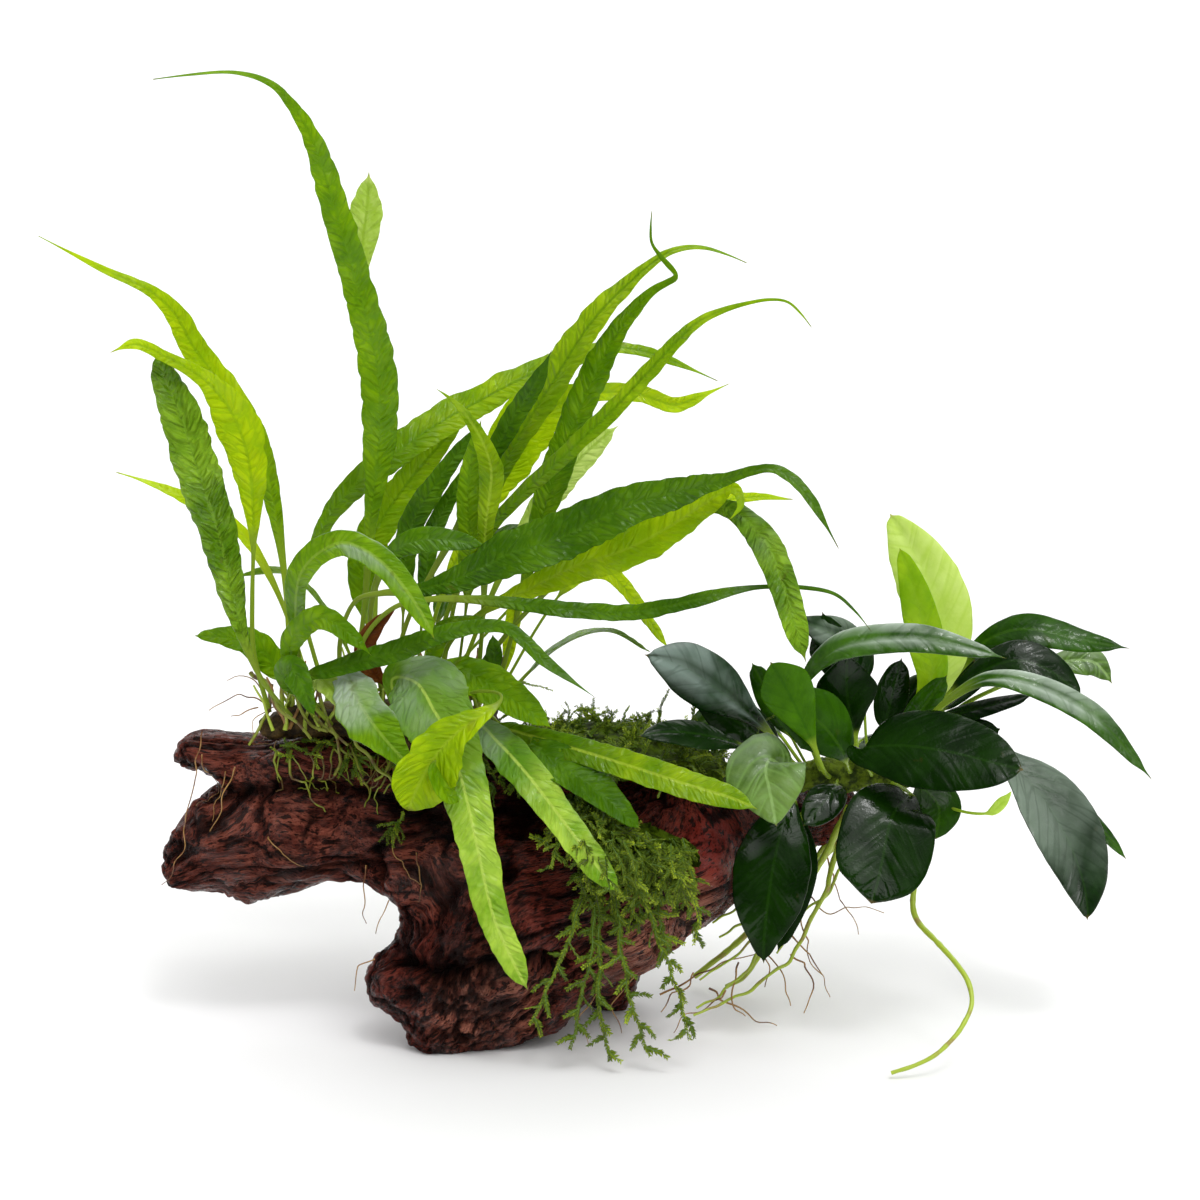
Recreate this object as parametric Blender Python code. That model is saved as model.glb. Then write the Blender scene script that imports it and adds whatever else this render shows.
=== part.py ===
"""Java fern and dwarf anubias growing on a forked piece of driftwood.

The design frame is in millimetres: +X to the right, +Y to the back, +Z up, and the floor at z = 0.
Every leaf is a thin closed blade that follows its own midrib from the rhizome to the tip.
"""

import math

import bmesh
import bpy
from mathutils import Matrix, Vector, noise
from mathutils.bvhtree import BVHTree

MM = 0.001
GAP = 0.3  # left between neighbours that touch
SKIN_MARGIN = 1.3  # keeps the gap at the flats between a grown skin's vertices
BLOCK_SIZE = 400  # larger than the whole piece of wood

WOOD_SIDES = 12
WOOD_VOXEL = 5.5
WOOD_FINAL_VOXEL = 4.4
WOOD_KEPT_FACES = 0.27
BURR_SIZE = 17.0
BURR_DEPTH = 2.6

MOSS_SIDES = 10
MOSS_EDGE = 16.0
MOSS_LUMP_SIZE = 9.0
MOSS_LUMP_DEPTH = 1.2

RHIZOME_SIDES = 8
RHIZOME_VOXEL = 2.6
RHIZOME_KEPT_FACES = 0.17

BLADE_THICKNESS = 0.9
PETIOLE_WIDTH = 1.9
PETIOLE_THICKNESS = 1.3
WIDEST_PETIOLE = 2.5  # a station wider than this belongs to the leaf's blade
CREST = 0.35  # the share of a blade's thickness that lies above its midrib's line
FOLD = 0.12  # how far a blade's edges rise above its midrib, as a share of its half-width
BASE_CLEARANCE = 1.1  # from a petiole's cut end to the rhizome's bark
LEAST_SLOPE = 0.3  # of the petiole to the bark, so that a shallow start isn't pushed far out
BLADE_STEPS = 2  # rings for each station

ROOT_SIDES = 4
ROOT_STEPS = 2
ROOT_TAPER = 0.45  # the share of its radius that a root loses along its length

# Each limb of the wood is a run of stations: x, y, z, half depth, half height.
TRUNK = (
    (47, 13, 70, 7, 7), (41, 12, 66, 19, 18), (29, 10, 61, 27, 27), (0, 4, 48, 31, 33),
    (-24, -4, 35, 29, 29), (-44, -12, 25, 22, 20), (-58, -16, 20, 14, 14), (-72, -18, 22, 6, 9),
)
FOOT = (
    (-8, -4, 28, 19, 18), (-24, -9, 18, 18, 18), (-40, -15, 10, 16, 14), (-53, -19, 6, 11, 10),
    (-60, -20, 6, 5, 6),
)
UPPER_RIDGE = (
    (-131, 7, 86, 5, 6), (-123, 8, 84, 10, 9), (-100, 8, 83, 16, 10), (-70, 8, 81, 20, 12),
    (-35, 8, 79, 24, 14), (-5, 8, 76, 26, 14),
)
LOWER_RIDGE = (
    (-134, 3, 46, 4, 4), (-127, 5, 51, 12, 9), (-118, 6, 57, 17, 15), (-107, 7, 58, 20, 19),
    (-90, 8, 62, 22, 17),
    (-70, 8, 64, 24, 17), (-45, 8, 64, 26, 20), (-20, 6, 60, 28, 24),
)
ELBOW = ((-69, -9, 50, 5, 5), (-62, -9, 50, 11, 9), (-48, -7, 52, 17, 14), (-28, -4, 54, 22, 18))
RIGHT_ARM = ((28, 12, 66, 16, 14), (50, 15, 63, 13, 12), (70, 18, 64, 12, 11), (80, 18, 66, 6, 6))
REAR_FOOT = ((-8, 18, 42, 20, 18), (-28, 32, 24, 15, 14), (-42, 38, 10, 12, 12), (-50, 40, 2, 9, 9))
BELLY = ((-5, 14, 28, 20, 18), (3, 24, 10, 13, 11), (5, 27, 0, 10, 8))
LIMBS = (TRUNK, FOOT, UPPER_RIDGE, LOWER_RIDGE, ELBOW, RIGHT_ARM, REAR_FOOT, BELLY)

NOTCH_END = (-113, 0, 75)
NOTCH_DEPTH = 22
NOTCH_LENGTH = 4  # from front to back, in widths of the wedge
NOTCH_SLOPE = 0.42
NOTCH_TILT = math.radians(-8)

# Where the wood forks: a point on the fork and the way the limb leaves the trunk.
FORKS = (
    ("wood_left_limb", (-46, 0, 0), (-1, 0, 0), 36),
    ("wood_right_arm", (47, 0, 0), (1, 0, 0), None),
    ("wood_rear_foot", (-27, 31, 20), (-0.55, 0.7, -0.45), None),
    ("wood_front_foot", (-26, -8, 34), (-0.75, -0.25, -0.61), None),
)

FERN_RHIZOME = (
    ((-104, 0, 95), 4), ((-92, 2, 97), 6), ((-76, 5, 97), 6.5), ((-60, 8, 97), 6.5), ((-44, 10, 96), 6),
    ((-30, 12, 95), 4.5),
)
FERN_BRANCH = (((-84, 6, 97), 5), ((-72, 16, 97), 5.5), ((-56, 24, 95), 5), ((-42, 28, 93), 4))
FERN_FRONT_BRANCH = (((-82, 2, 97), 5), ((-66, -6, 95), 5), ((-48, -8, 93), 4.5), ((-34, -8, 91), 4))
ANUBIAS_RHIZOME = (((54, 6, 76), 4), ((66, 8, 79), 6), ((80, 8, 79), 6.5), ((93, 7, 79), 5), ((98, 7, 79), 3))

MOSS_MAT = (
    (-36, 2, 86, 8, 4), (-22, -2, 88, 20, 7), (0, 0, 89, 26, 8), (22, 4, 86, 24, 8), (38, 8, 79, 12, 6),
)
MOSS_APRON = ((-14, -22, 80, 10, 6), (2, -29, 72, 14, 7), (18, -27, 66, 13, 7), (30, -20, 60, 8, 5))
MOSS_BEARD = (
    (4, -31, 60, 8, 5), (-3, -35, 42, 9, 5), (-5, -37, 24, 8, 4), (-8, -42, 8, 5, 3), (-9, -46, 3, 2, 2),
)

LONG_ROOT = (
    (95, 3, 74), (101, 2, 62), (98, -1, 52), (95, -5, 44), (96, -11, 38), (104, -24, 32), (109, -33, 27),
    (110, -38, 21), (107, -42, 15), (101, -45, 9), (94, -46, 5), (86, -46, 2),
)
BACK_ROOT = ((88, 16, 72), (82, 33, 58), (68, 38, 42), (54, 39, 27), (42, 40, 14), (30, 40, 4))
SIDE_ROOT = ((76, 4, 70), (70, 2, 58), (65, 4, 48), (58, 12, 34), (52, 22, 20), (46, 30, 8), (40, 33, 3))
ROOTS = (("root_long", LONG_ROOT, 1.3), ("root_back", BACK_ROOT, 1.8), ("root_side", SIDE_ROOT, 1.5))

FRONT = (0, -1, 0.2)
UP = (0, 0, 1)

# Each leaf: name, face at the base, face at the tip, then stations of the midrib: x, y, z, width,
# and for heart-shaped leaves how far the edges are swept back there. The first is in the rhizome.
FRONDS = (
    ("frond_tall", FRONT, (0.4, -0.5, 0.8), (
        (-78, 8, 97, 2), (-72, 12, 126, 2), (-69, 10, 158, 4), (-66, 6, 182, 10), (-66, 3, 204, 11),
        (-71, 0, 228, 9.5), (-79, -4, 258, 8.5), (-84, -6, 274, 6), (-90, -8, 284, 4), (-96, -10, 290, 3),
        (-108, -13, 293, 2), (-130, -18, 291, 1))),
    ("frond_back_tall", FRONT, FRONT, (
        (-70, 16, 97, 2), (-69, 30, 136, 2), (-70, 37, 175, 2), (-72, 40, 218, 2), (-73, 40, 232, 6),
        (-71, 39, 247, 10), (-70, 38, 260, 1))),
    ("frond_far_left", FRONT, (0.3, -0.7, 0.7), (
        (-94, 5, 97, 2), (-95, 14, 126, 2), (-97, 17, 148, 3), (-102, 19, 174, 7), (-110, 19, 191, 9),
        (-122, 17, 209, 8), (-127, 15, 219, 7), (-135, 13, 227, 4), (-147, 10, 233, 3), (-167, 2, 245, 1))),
    ("frond_lime_left", FRONT, (-0.3, -0.6, 0.8), (
        (-99, 0, 97, 2), (-104, -4, 122, 2), (-103, -7, 152, 2), (-103, -9, 174, 9.5), (-106, -12, 189, 13),
        (-111, -15, 199, 9), (-117, -19, 206, 5), (-126, -23, 212, 4), (-134, -27, 216, 4.5),
        (-141, -30, 214, 1))),
    ("frond_dark_left", (0.3, -1, 0.1), FRONT, (
        (-91, -3, 97, 2), (-101, -8, 112, 2), (-106, -12, 126, 3.5), (-109, -15, 141, 8),
        (-112, -17, 158, 11), (-117, -18, 175, 13), (-122, -19, 193, 12), (-127, -18, 206, 7.5),
        (-129, -18, 213, 1))),
    ("frond_small_lime", FRONT, UP, (
        (-86, 10, 97, 2), (-97, 23, 128, 2), (-109, 28, 149, 4), (-124, 30, 159, 5), (-139, 33, 165, 3),
        (-149, 34, 168, 1))),
    ("frond_over_right", (-0.3, -0.9, 0.5), (0.3, -0.6, 0.8), (
        (-82, 14, 97, 2), (-91, 21, 128, 2), (-87, 24, 147, 4), (-77, 26, 163, 8), (-55, 30, 180, 11.5),
        (-37, 34, 190, 11), (-16, 38, 200, 8.5), (4, 44, 205, 5), (20, 49, 201, 4), (37, 54, 193, 1))),
    ("frond_high_right", (-0.5, -1, 0.5), (0, -0.5, 0.9), (
        (-50, 13, 96, 2), (-44, 14, 132, 2), (-36, 12, 157, 4), (-26, 9, 180, 8), (-13, 4, 202, 11.5),
        (-3, 1, 218, 10), (8, -1, 230, 6.5), (20, -6, 240, 3.5), (31, -11, 242, 2.5), (43, -15, 238, 1))),
    ("frond_lime_back", FRONT, (0, -0.7, 0.8), (
        (-57, 26, 95, 2), (-50, 36, 126, 2), (-37, 41, 155, 8), (-28, 44, 169, 14), (-17, 46, 184, 13),
        (-4, 49, 190, 7), (12, 54, 189, 6), (23, 58, 185, 6), (33, 61, 188, 3), (41, 64, 191, 1))),
    ("frond_curly", (-0.4, -1, 0.3), (-0.6, -0.8, 0.2), (
        (-34, 12, 95, 2), (-25, 14, 128, 2), (-21, 12, 145, 5), (-14, 9, 170, 10), (-6, 6, 192, 10),
        (1, 3, 208, 9), (8, 0, 220, 5.5), (16, -4, 229, 3), (22, -8, 233, 2.5), (20, -11, 237, 2.5),
        (15, -14, 244, 2), (15, -18, 254, 1))),
    ("frond_thin_arch", (-0.5, -1, 0.5), (0.4, -0.6, 0.7), (
        (-54, 7, 97, 2), (-46, 6, 130, 2), (-32, 4, 157, 4), (-13, -2, 177, 5.5), (4, -7, 194, 6),
        (18, -12, 210, 5), (29, -14, 221, 3.5), (43, -19, 227, 2), (54, -24, 228, 2), (61, -29, 221, 1))),
    ("frond_dark_upright", (-0.3, -1, 0.2), FRONT, (
        (-66, 11, 97, 2), (-58, 14, 127, 2), (-43, 9, 155, 3), (-34, 3, 175, 5), (-26, -1, 190, 6.5),
        (-19, -4, 201, 5), (-14, -6, 212, 1))),
    ("frond_great_dark", (-0.3, -0.9, 0.4), (0.7, -0.6, 0.4), (
        (-77, -1, 97, 2), (-78, -4, 122, 2), (-72, -8, 137, 2), (-56, -11, 140, 3.5), (-42, -13, 144, 8),
        (-27, -15, 152, 13.5), (-12, -16, 157, 15), (6, -18, 166, 12.5), (22, -20, 171, 9.5),
        (37, -23, 176, 4), (50, -29, 180, 3.5), (60, -35, 173, 4.5), (69, -38, 158, 1))),
    ("frond_under_dark", (-0.3, -0.9, 0.3), (0.3, -0.8, 0.4), (
        (-50, 5, 97, 2), (-46, 2, 120, 2), (-35, -3, 132, 2.5), (-22, -5, 139, 6), (-7, -7, 147, 11),
        (7, -9, 152, 12), (20, -10, 159, 11), (31, -13, 167, 8), (39, -17, 172, 4), (41, -23, 168, 3),
        (37, -27, 164, 1))),
    ("frond_long_low", (0, -0.9, 0.4), (0.3, -0.7, 0.5), (
        (-72, -6, 95, 2), (-72, -9, 121, 2), (-60, -13, 136, 2), (-38, -18, 139, 3), (-14, -21, 137, 5),
        (10, -22, 136, 5), (32, -24, 141, 4), (47, -24, 144, 2), (68, -28, 143, 2), (79, -35, 133, 1))),
    ("frond_hanging", FRONT, (0.2, -1, 0), (
        (-42, 11, 96, 2), (-32, 7, 118, 2), (-12, 0, 141, 2), (14, -5, 158, 2), (30, -10, 165, 3.5),
        (40, -18, 165, 6), (48, -28, 158, 9), (53, -33, 147, 8.5), (57, -36, 134, 7), (60, -37, 124, 1))),
    ("frond_mid_dark", FRONT, FRONT, (
        (-65, 5, 98, 2), (-69, 0, 130, 2), (-64, -4, 147, 3.5), (-56, -7, 154, 7.5), (-44, -9, 155, 6.5),
        (-32, -10, 153, 1))),
    ("frond_arching", (-0.7, -0.7, 0.2), (0.4, -0.8, 0.5), (
        (-87, -1, 97, 2), (-90, -11, 122, 2.5), (-90, -16, 135, 7), (-87, -22, 149, 9), (-75, -28, 158, 8),
        (-62, -33, 152, 8), (-52, -36, 139, 6), (-48, -37, 131, 1))),
    ("frond_small_curl", (-0.5, -0.9, 0.1), (0.4, -0.8, 0.5), (
        (-84, -3, 96, 2), (-91, -15, 114, 2), (-91, -20, 127, 7), (-82, -25, 135, 7), (-73, -27, 130, 5),
        (-67, -27, 124, 1))),
    ("frond_level_front", (0, -0.8, 0.5), (0.3, -0.8, 0.5), (
        (-79, -4, 95, 2), (-89, -17, 113, 2), (-78, -22, 119, 5.5), (-60, -26, 125, 7), (-42, -29, 132, 5),
        (-27, -31, 133, 4), (-17, -35, 125, 4), (-1, -39, 114, 1))),
    ("frond_front_bright", (-0.2, -0.9, 0.5), (0, -1, 0.3), (
        (-69, -7, 94, 2), (-77, -14, 115, 4), (-74, -24, 114, 11), (-67, -34, 106, 14), (-60, -37, 98, 8),
        (-54, -38, 92, 1))),
    ("frond_front_long", (0, -0.8, 0.6), (0, -1, 0.1), (
        (-58, -9, 94, 2), (-62, -12, 113, 7), (-54, -24, 115, 21), (-49, -31, 109, 23), (-44, -36, 101, 18),
        (-39, -42, 85, 13.5), (-35, -45, 67, 11), (-31, -47, 50, 9), (-25, -48, 36, 7), (-21, -48, 28, 1))),
    ("frond_front_right", (0, -0.8, 0.5), (0.1, -1, 0.2), (
        (-39, -9, 91, 2), (-37, -14, 101, 3), (-31, -24, 98, 10), (-22, -35, 91, 11), (-11, -41, 78, 9.5),
        (0, -45, 64, 7.5), (6, -46, 57, 1))),
    ("frond_lime_twisted", (-0.3, -1, 0.2), (0, -1, 0.3), (
        (-63, -9, 92, 2), (-67, -22, 99, 2), (-64, -34, 88, 4), (-58, -38, 82, 10), (-51, -42, 85, 15),
        (-44, -46, 99, 8), (-38, -49, 107, 4), (-31, -51, 111, 1))),
    ("frond_lime_right", (0, -0.8, 0.6), (0, -0.9, 0.4), (
        (-34, -9, 90, 2), (-32, -13, 99, 3), (-18, -23, 98, 7), (4, -34, 94, 8.5), (26, -43, 89, 8.5),
        (38, -46, 86, 6.5), (46, -48, 83, 1))),
    ("frond_mid_right", (0, -0.8, 0.5), (0, -0.8, 0.5), (
        (-45, -8, 92, 2), (-48, -11, 114, 4), (-40, -18, 117, 11), (-30, -24, 113, 12), (-21, -29, 108, 8),
        (-14, -31, 103, 1))),
    ("frond_pale_front", (-0.2, -1, 0), (-0.5, -0.8, 0.4), (
        (-38, 8, 97, 2), (-35, 0, 132, 2), (-34, -5, 158, 5), (-32, -10, 176, 8), (-36, -16, 189, 4.5),
        (-42, -21, 198, 2.5), (-48, -24, 203, 1))),
    ("frond_pale_rear", FRONT, FRONT, (
        (-48, 27, 93, 2), (-36, 30, 124, 2), (-25, 33, 147, 4), (-13, 37, 164, 9.5), (-2, 41, 175, 7),
        (6, 44, 181, 1))),
)

LEAVES = (
    ("leaf_big_front", (0.1, -0.7, 0.8), (0.3, -0.9, 0.4), (
        (83, 3, 79, 2), (79, -8, 89, 2.5), (79, -18, 94, 13), (91, -24, 96, 25), (105, -29, 95, 25),
        (117, -34, 93, 15), (124, -37, 92, 1))),
    ("leaf_heart", (0, -0.9, 0.5), (-0.1, -1, 0.1), (
        (88, 3, 78, 2), (93, -12, 78, 2), (89, -21, 77, 14, 6), (86, -26, 73, 26, 4), (84, -30, 65, 28),
        (82, -34, 57, 22), (80, -36, 51, 1))),
    ("leaf_right_hanging", (0.3, -0.7, 0.7), (0.7, -0.7, 0.1), (
        (93, 6, 80, 2), (106, 10, 88, 2), (118, 9, 87, 2.5), (126, 6, 82, 9), (134, 2, 74, 19),
        (142, -3, 61, 23), (147, -6, 47, 15), (148, -7, 37, 1))),
    ("leaf_young", (0.3, -0.9, 0), (-0.2, -1, 0.1), (
        (88, 11, 79, 2), (95, 15, 100, 2.5), (98, 16, 112, 8), (102, 16, 125, 20), (102, 16, 138, 23),
        (96, 16, 149, 15), (88, 15, 158, 1))),
    ("leaf_arching", (-0.2, -0.8, 0.6), (0, -0.8, 0.6), (
        (68, 3, 79, 2), (60, -3, 102, 2), (62, -9, 114, 4), (72, -13, 124, 9), (92, -16, 127, 9.5),
        (107, -19, 125, 6.5), (120, -22, 122, 1))),
    ("leaf_upper_right", (0, -0.8, 0.6), (0, -0.8, 0.6), (
        (95, 13, 78, 2), (107, 19, 104, 2), (117, 17, 118, 5.5), (130, 14, 123, 11), (146, 12, 120, 8),
        (161, 9, 118, 1))),
    ("leaf_dark_right", (0, -0.8, 0.6), (0.3, -0.8, 0.4), (
        (89, 7, 80, 2), (104, 8, 101, 2), (116, 8, 111, 8), (127, 6, 115, 14), (138, 4, 111, 11),
        (146, 0, 104, 1))),
    ("leaf_narrow_right", (0.1, -0.8, 0.6), (0.6, -0.7, 0.4), (
        (91, 3, 80, 2), (98, -3, 98, 2), (113, -9, 112, 4), (128, -12, 112, 8), (146, -17, 104, 9),
        (157, -20, 93, 5), (164, -22, 85, 1))),
    ("leaf_back_right", (0, -0.7, 0.7), (0.4, -0.8, 0.3), (
        (93, 14, 77, 2), (112, 29, 95, 2), (133, 36, 103, 2), (144, 38, 107, 7), (154, 38, 107, 9.5),
        (160, 38, 100, 1))),
    ("leaf_upper_left", (-0.2, -0.9, 0.4), (-0.3, -0.9, 0.3), (
        (61, 4, 80, 2), (52, -4, 94, 2), (44, -11, 103, 7), (35, -15, 111, 16), (24, -18, 119, 15),
        (13, -21, 123, 1))),
    ("leaf_level_left", (-0.1, -0.6, 0.8), (-0.1, -0.6, 0.8), (
        (56, 4, 76, 2), (48, -6, 88, 2), (41, -14, 94, 4), (31, -19, 98, 11), (20, -23, 100, 9),
        (11, -25, 99, 1))),
    ("leaf_round_bright", (0, -1, 0.2), (0, -1, 0.1), (
        (70, 3, 79, 2), (67, -10, 85, 2), (63, -19, 96, 3), (58, -21, 107, 13), (54, -23, 115, 15),
        (50, -26, 122, 1))),
    ("leaf_under_round", (-0.1, -0.9, 0.4), (0, -0.9, 0.4), (
        (76, 2, 81, 2), (74, -8, 87, 2), (72, -11, 92, 10), (66, -13, 100, 19), (57, -16, 106, 13),
        (49, -16, 111, 1))),
    ("leaf_arrowhead", (-0.2, -0.9, 0.5), (-0.1, -1, 0.2), (
        (64, 1, 74, 2), (57, -13, 84, 2), (51, -21, 91, 14, 5), (49, -26, 89, 24, 3), (50, -30, 84, 21),
        (52, -34, 74, 1))),
    ("leaf_hanging_big", (0, -1, 0.2), (0, -1, 0), (
        (64, 3, 74, 2), (58, -10, 76, 2.5), (55, -15, 70, 14), (52, -20, 59, 23), (50, -23, 46, 20),
        (49, -25, 36, 9), (49, -25, 29, 1))),
    ("leaf_centre", (0, -1, 0.2), (0, -1, 0.1), (
        (78, 4, 81, 2), (77, 0, 94, 3), (75, -3, 102, 14), (74, -5, 110, 18), (74, -7, 120, 1))),
    ("leaf_top_back", (0, -0.9, 0.3), (0, -0.9, 0.4), (
        (79, 13, 80, 2), (76, 20, 98, 2), (73, 22, 108, 8), (71, 22, 116, 14), (68, 21, 127, 1))),
)

# Base colours, then roughness.
COLOURS = {
    "wood": ((0.10, 0.028, 0.020), 0.45),
    "fern": ((0.16, 0.36, 0.03), 0.4),
    "anubias": ((0.018, 0.085, 0.022), 0.3),
    "moss": ((0.09, 0.17, 0.02), 0.8),
    "rhizome": ((0.13, 0.10, 0.03), 0.7),
    "root": ((0.38, 0.42, 0.10), 0.55),
}


def clear_scene():
    for obj in list(bpy.data.objects):
        bpy.data.objects.remove(obj)


def make_materials():
    materials = {}
    for name, (colour, roughness) in COLOURS.items():
        material = bpy.data.materials.new(name)
        material.use_nodes = True
        shader = material.node_tree.nodes["Principled BSDF"]
        shader.inputs["Base Color"].default_value = (*colour, 1)
        shader.inputs["Roughness"].default_value = roughness
        shader.inputs["Metallic"].default_value = 0
        materials[name] = material
    return materials


def object_from(bm, name, material):
    """A finished object from a bmesh in millimetres."""
    bmesh.ops.transform(bm, matrix=Matrix.Scale(MM, 4), verts=bm.verts)
    mesh = bpy.data.meshes.new(name)
    bm.to_mesh(mesh)
    bm.free()
    mesh.materials.append(material)
    obj = bpy.data.objects.new(name, mesh)
    bpy.context.scene.collection.objects.link(obj)
    return obj


def directions(places):
    """The tangent at each place of a line."""
    last = len(places) - 1
    return [
        (places[min(index + 1, last)] - places[max(index - 1, 0)]).normalized() for index in range(last + 1)
    ]


def extrude_rings(bm, rings, tip=None):
    """Extrudes a closed profile through the rings, and draws the last one together at the tip."""
    first = [bm.verts.new(point) for point in rings[0]]
    face = bm.faces.new(first)
    face.normal_flip()
    loop = first
    sides = len(first)
    for ring in rings[1:]:
        edges = [bm.edges.get((loop[i], loop[(i + 1) % sides])) for i in range(sides)]
        made = bmesh.ops.extrude_edge_only(bm, edges=edges)["geom"]
        fresh = [item for item in made if isinstance(item, bmesh.types.BMVert)]
        following = []
        for vert in loop:
            twin = next(v for v in fresh if v in {e.other_vert(vert) for e in vert.link_edges})
            following.append(twin)
        for vert, point in zip(following, ring):
            vert.co = point
        loop = following
    if tip is None:
        bm.faces.new(loop)
    else:
        edges = [bm.edges.get((loop[i], loop[(i + 1) % sides])) for i in range(sides)]
        made = bmesh.ops.extrude_edge_only(bm, edges=edges)["geom"]
        fresh = [item for item in made if isinstance(item, bmesh.types.BMVert)]
        bmesh.ops.pointmerge(bm, verts=fresh, merge_co=Vector(tip))
    bmesh.ops.recalc_face_normals(bm, faces=bm.faces)


def ellipse_ring(centre, tangent, half_depth, half_height, sides):
    """A ring across the tangent, half_depth wide along Y and half_height tall across it."""
    side = Vector((0, 1, 0))
    side = (side - tangent * side.dot(tangent)).normalized()
    rise = tangent.cross(side).normalized()
    turns = [2 * math.pi * k / sides for k in range(sides)]
    return [centre + side * half_depth * math.cos(a) + rise * half_height * math.sin(a) for a in turns]


def limb(bm, stations, sides=WOOD_SIDES):
    """One tapering limb with closed ends, added to the bmesh."""
    centres = [Vector(station[:3]) for station in stations]
    rings = [
        ellipse_ring(centre, tangent, station[3], station[4], sides)
        for centre, tangent, station in zip(centres, directions(centres), stations)
    ]
    part = bmesh.new()
    extrude_rings(part, rings)
    add_to(bm, part)


def add_to(bm, part):
    """Moves the contents of one bmesh into another."""
    mesh = bpy.data.meshes.new("loose")
    part.to_mesh(mesh)
    part.free()
    bm.from_mesh(mesh)
    bpy.data.meshes.remove(mesh)


def evaluated_bmesh(obj):
    """The object's mesh after its modifiers, in millimetres, with the object removed."""
    graph = bpy.context.evaluated_depsgraph_get()
    bm = bmesh.new()
    bm.from_object(obj, graph)
    bmesh.ops.transform(bm, matrix=Matrix.Scale(1 / MM, 4), verts=bm.verts)
    bpy.data.objects.remove(obj)
    return bm


def fused(bm, voxel, kept, material):
    """The shapes in the bmesh grown together into one skin of about kept times the voxel faces."""
    obj = object_from(bm, "fused", material)
    remesh = obj.modifiers.new("fuse", "REMESH")
    remesh.mode = "VOXEL"
    remesh.voxel_size = voxel * MM
    thin = obj.modifiers.new("thin", "DECIMATE")
    thin.ratio = kept
    return evaluated_bmesh(obj)


def roughen(bm, size, depth):
    """Lumps and hollows of the given size and depth all over a skin, the same on every run."""
    bmesh.ops.recalc_face_normals(bm, faces=bm.faces)
    bm.normal_update()
    moved = [(vert, vert.co + vert.normal * depth * noise.noise(vert.co / size)) for vert in bm.verts]
    for vert, place in moved:
        vert.co = place


def cut_level(bm, height):
    """Removes what lies below the height and closes the cut with a flat face."""
    geometry = bm.verts[:] + bm.edges[:] + bm.faces[:]
    cut = bmesh.ops.bisect_plane(
        bm, geom=geometry, plane_co=(0, 0, height), plane_no=(0, 0, 1), clear_inner=True, dist=1e-4
    )
    rim = [item for item in cut["geom_cut"] if isinstance(item, bmesh.types.BMEdge)]
    bmesh.ops.holes_fill(bm, edges=rim)
    bmesh.ops.triangulate(bm, faces=bm.faces)


def notch(bm, material):
    """The broken gap between the prongs of the left limb: a wedge that runs through from front to back."""
    wedge = bmesh.new()
    size = NOTCH_DEPTH * math.sqrt(2)
    bmesh.ops.create_cube(wedge, size=size)
    bmesh.ops.rotate(wedge, verts=wedge.verts, matrix=Matrix.Rotation(math.pi / 4, 3, "Y"))
    bmesh.ops.scale(wedge, verts=wedge.verts, vec=(1, NOTCH_LENGTH, NOTCH_SLOPE))
    bmesh.ops.rotate(wedge, verts=wedge.verts, matrix=Matrix.Rotation(NOTCH_TILT, 3, "Y"))
    bmesh.ops.translate(wedge, verts=wedge.verts, vec=Vector(NOTCH_END) - Vector((NOTCH_DEPTH, 0, 0)))
    return combined(bm, wedge, "DIFFERENCE", material)


def driftwood(material):
    bm = bmesh.new()
    for stations in LIMBS:
        limb(bm, stations)
    bm = fused(bm, WOOD_VOXEL, 1.0, material)
    roughen(bm, BURR_SIZE, BURR_DEPTH)
    bm = fused(bm, WOOD_FINAL_VOXEL, WOOD_KEPT_FACES, material)
    bm = notch(bm, material)
    cut_level(bm, 0)
    return bm


def fork_box(point, direction, floor, grown):
    """A block on the limb's side of a fork; floor keeps it above a height, grown enlarges it."""
    axis = Vector(direction).normalized()
    turn = Vector((0, 0, 1)).rotation_difference(axis).to_matrix().to_4x4()
    centre = Vector(point) + axis * (BLOCK_SIZE / 2 - grown)
    bm = bmesh.new()
    bmesh.ops.create_cube(bm, size=BLOCK_SIZE, matrix=Matrix.Translation(centre) @ turn)
    if floor is not None:
        cut_level(bm, floor - grown)
    return bm


def boolean(obj, cutter, operation):
    cutter.hide_render = True
    cutter.display_type = "WIRE"
    modifier = obj.modifiers.new(operation.lower(), "BOOLEAN")
    modifier.operation = operation
    modifier.object = cutter
    modifier.solver = "EXACT"
    return modifier


def combined(bm, cutter_bm, operation, material):
    """The result of one Boolean; the first bmesh is left as it was."""
    obj = object_from(bm.copy(), "whole", material)
    cutter = object_from(cutter_bm, "cutter", material)
    boolean(obj, cutter, operation)
    result = evaluated_bmesh(obj)
    bpy.data.objects.remove(cutter)
    bmesh.ops.triangulate(result, faces=result.faces)
    return result


def split_driftwood(bm, material):
    """One solid for the trunk and one for each limb beyond a fork."""
    for name, point, direction, floor in FORKS:
        piece = combined(bm, fork_box(point, direction, floor, 0), "INTERSECT", material)
        rest = combined(bm, fork_box(point, direction, floor, GAP), "DIFFERENCE", material)
        bm.free()
        bm = rest
        object_from(piece, name, material)
    object_from(bm, "wood_trunk", material)


def grown(solid):
    """A copy of a solid with its skin moved out by the gap, to cut what lies on it."""
    bm = solid.copy()
    bm.normal_update()
    moved = [(vert, vert.co + vert.normal * GAP * SKIN_MARGIN) for vert in bm.verts]
    for vert, place in moved:
        vert.co = place
    return bm


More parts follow.
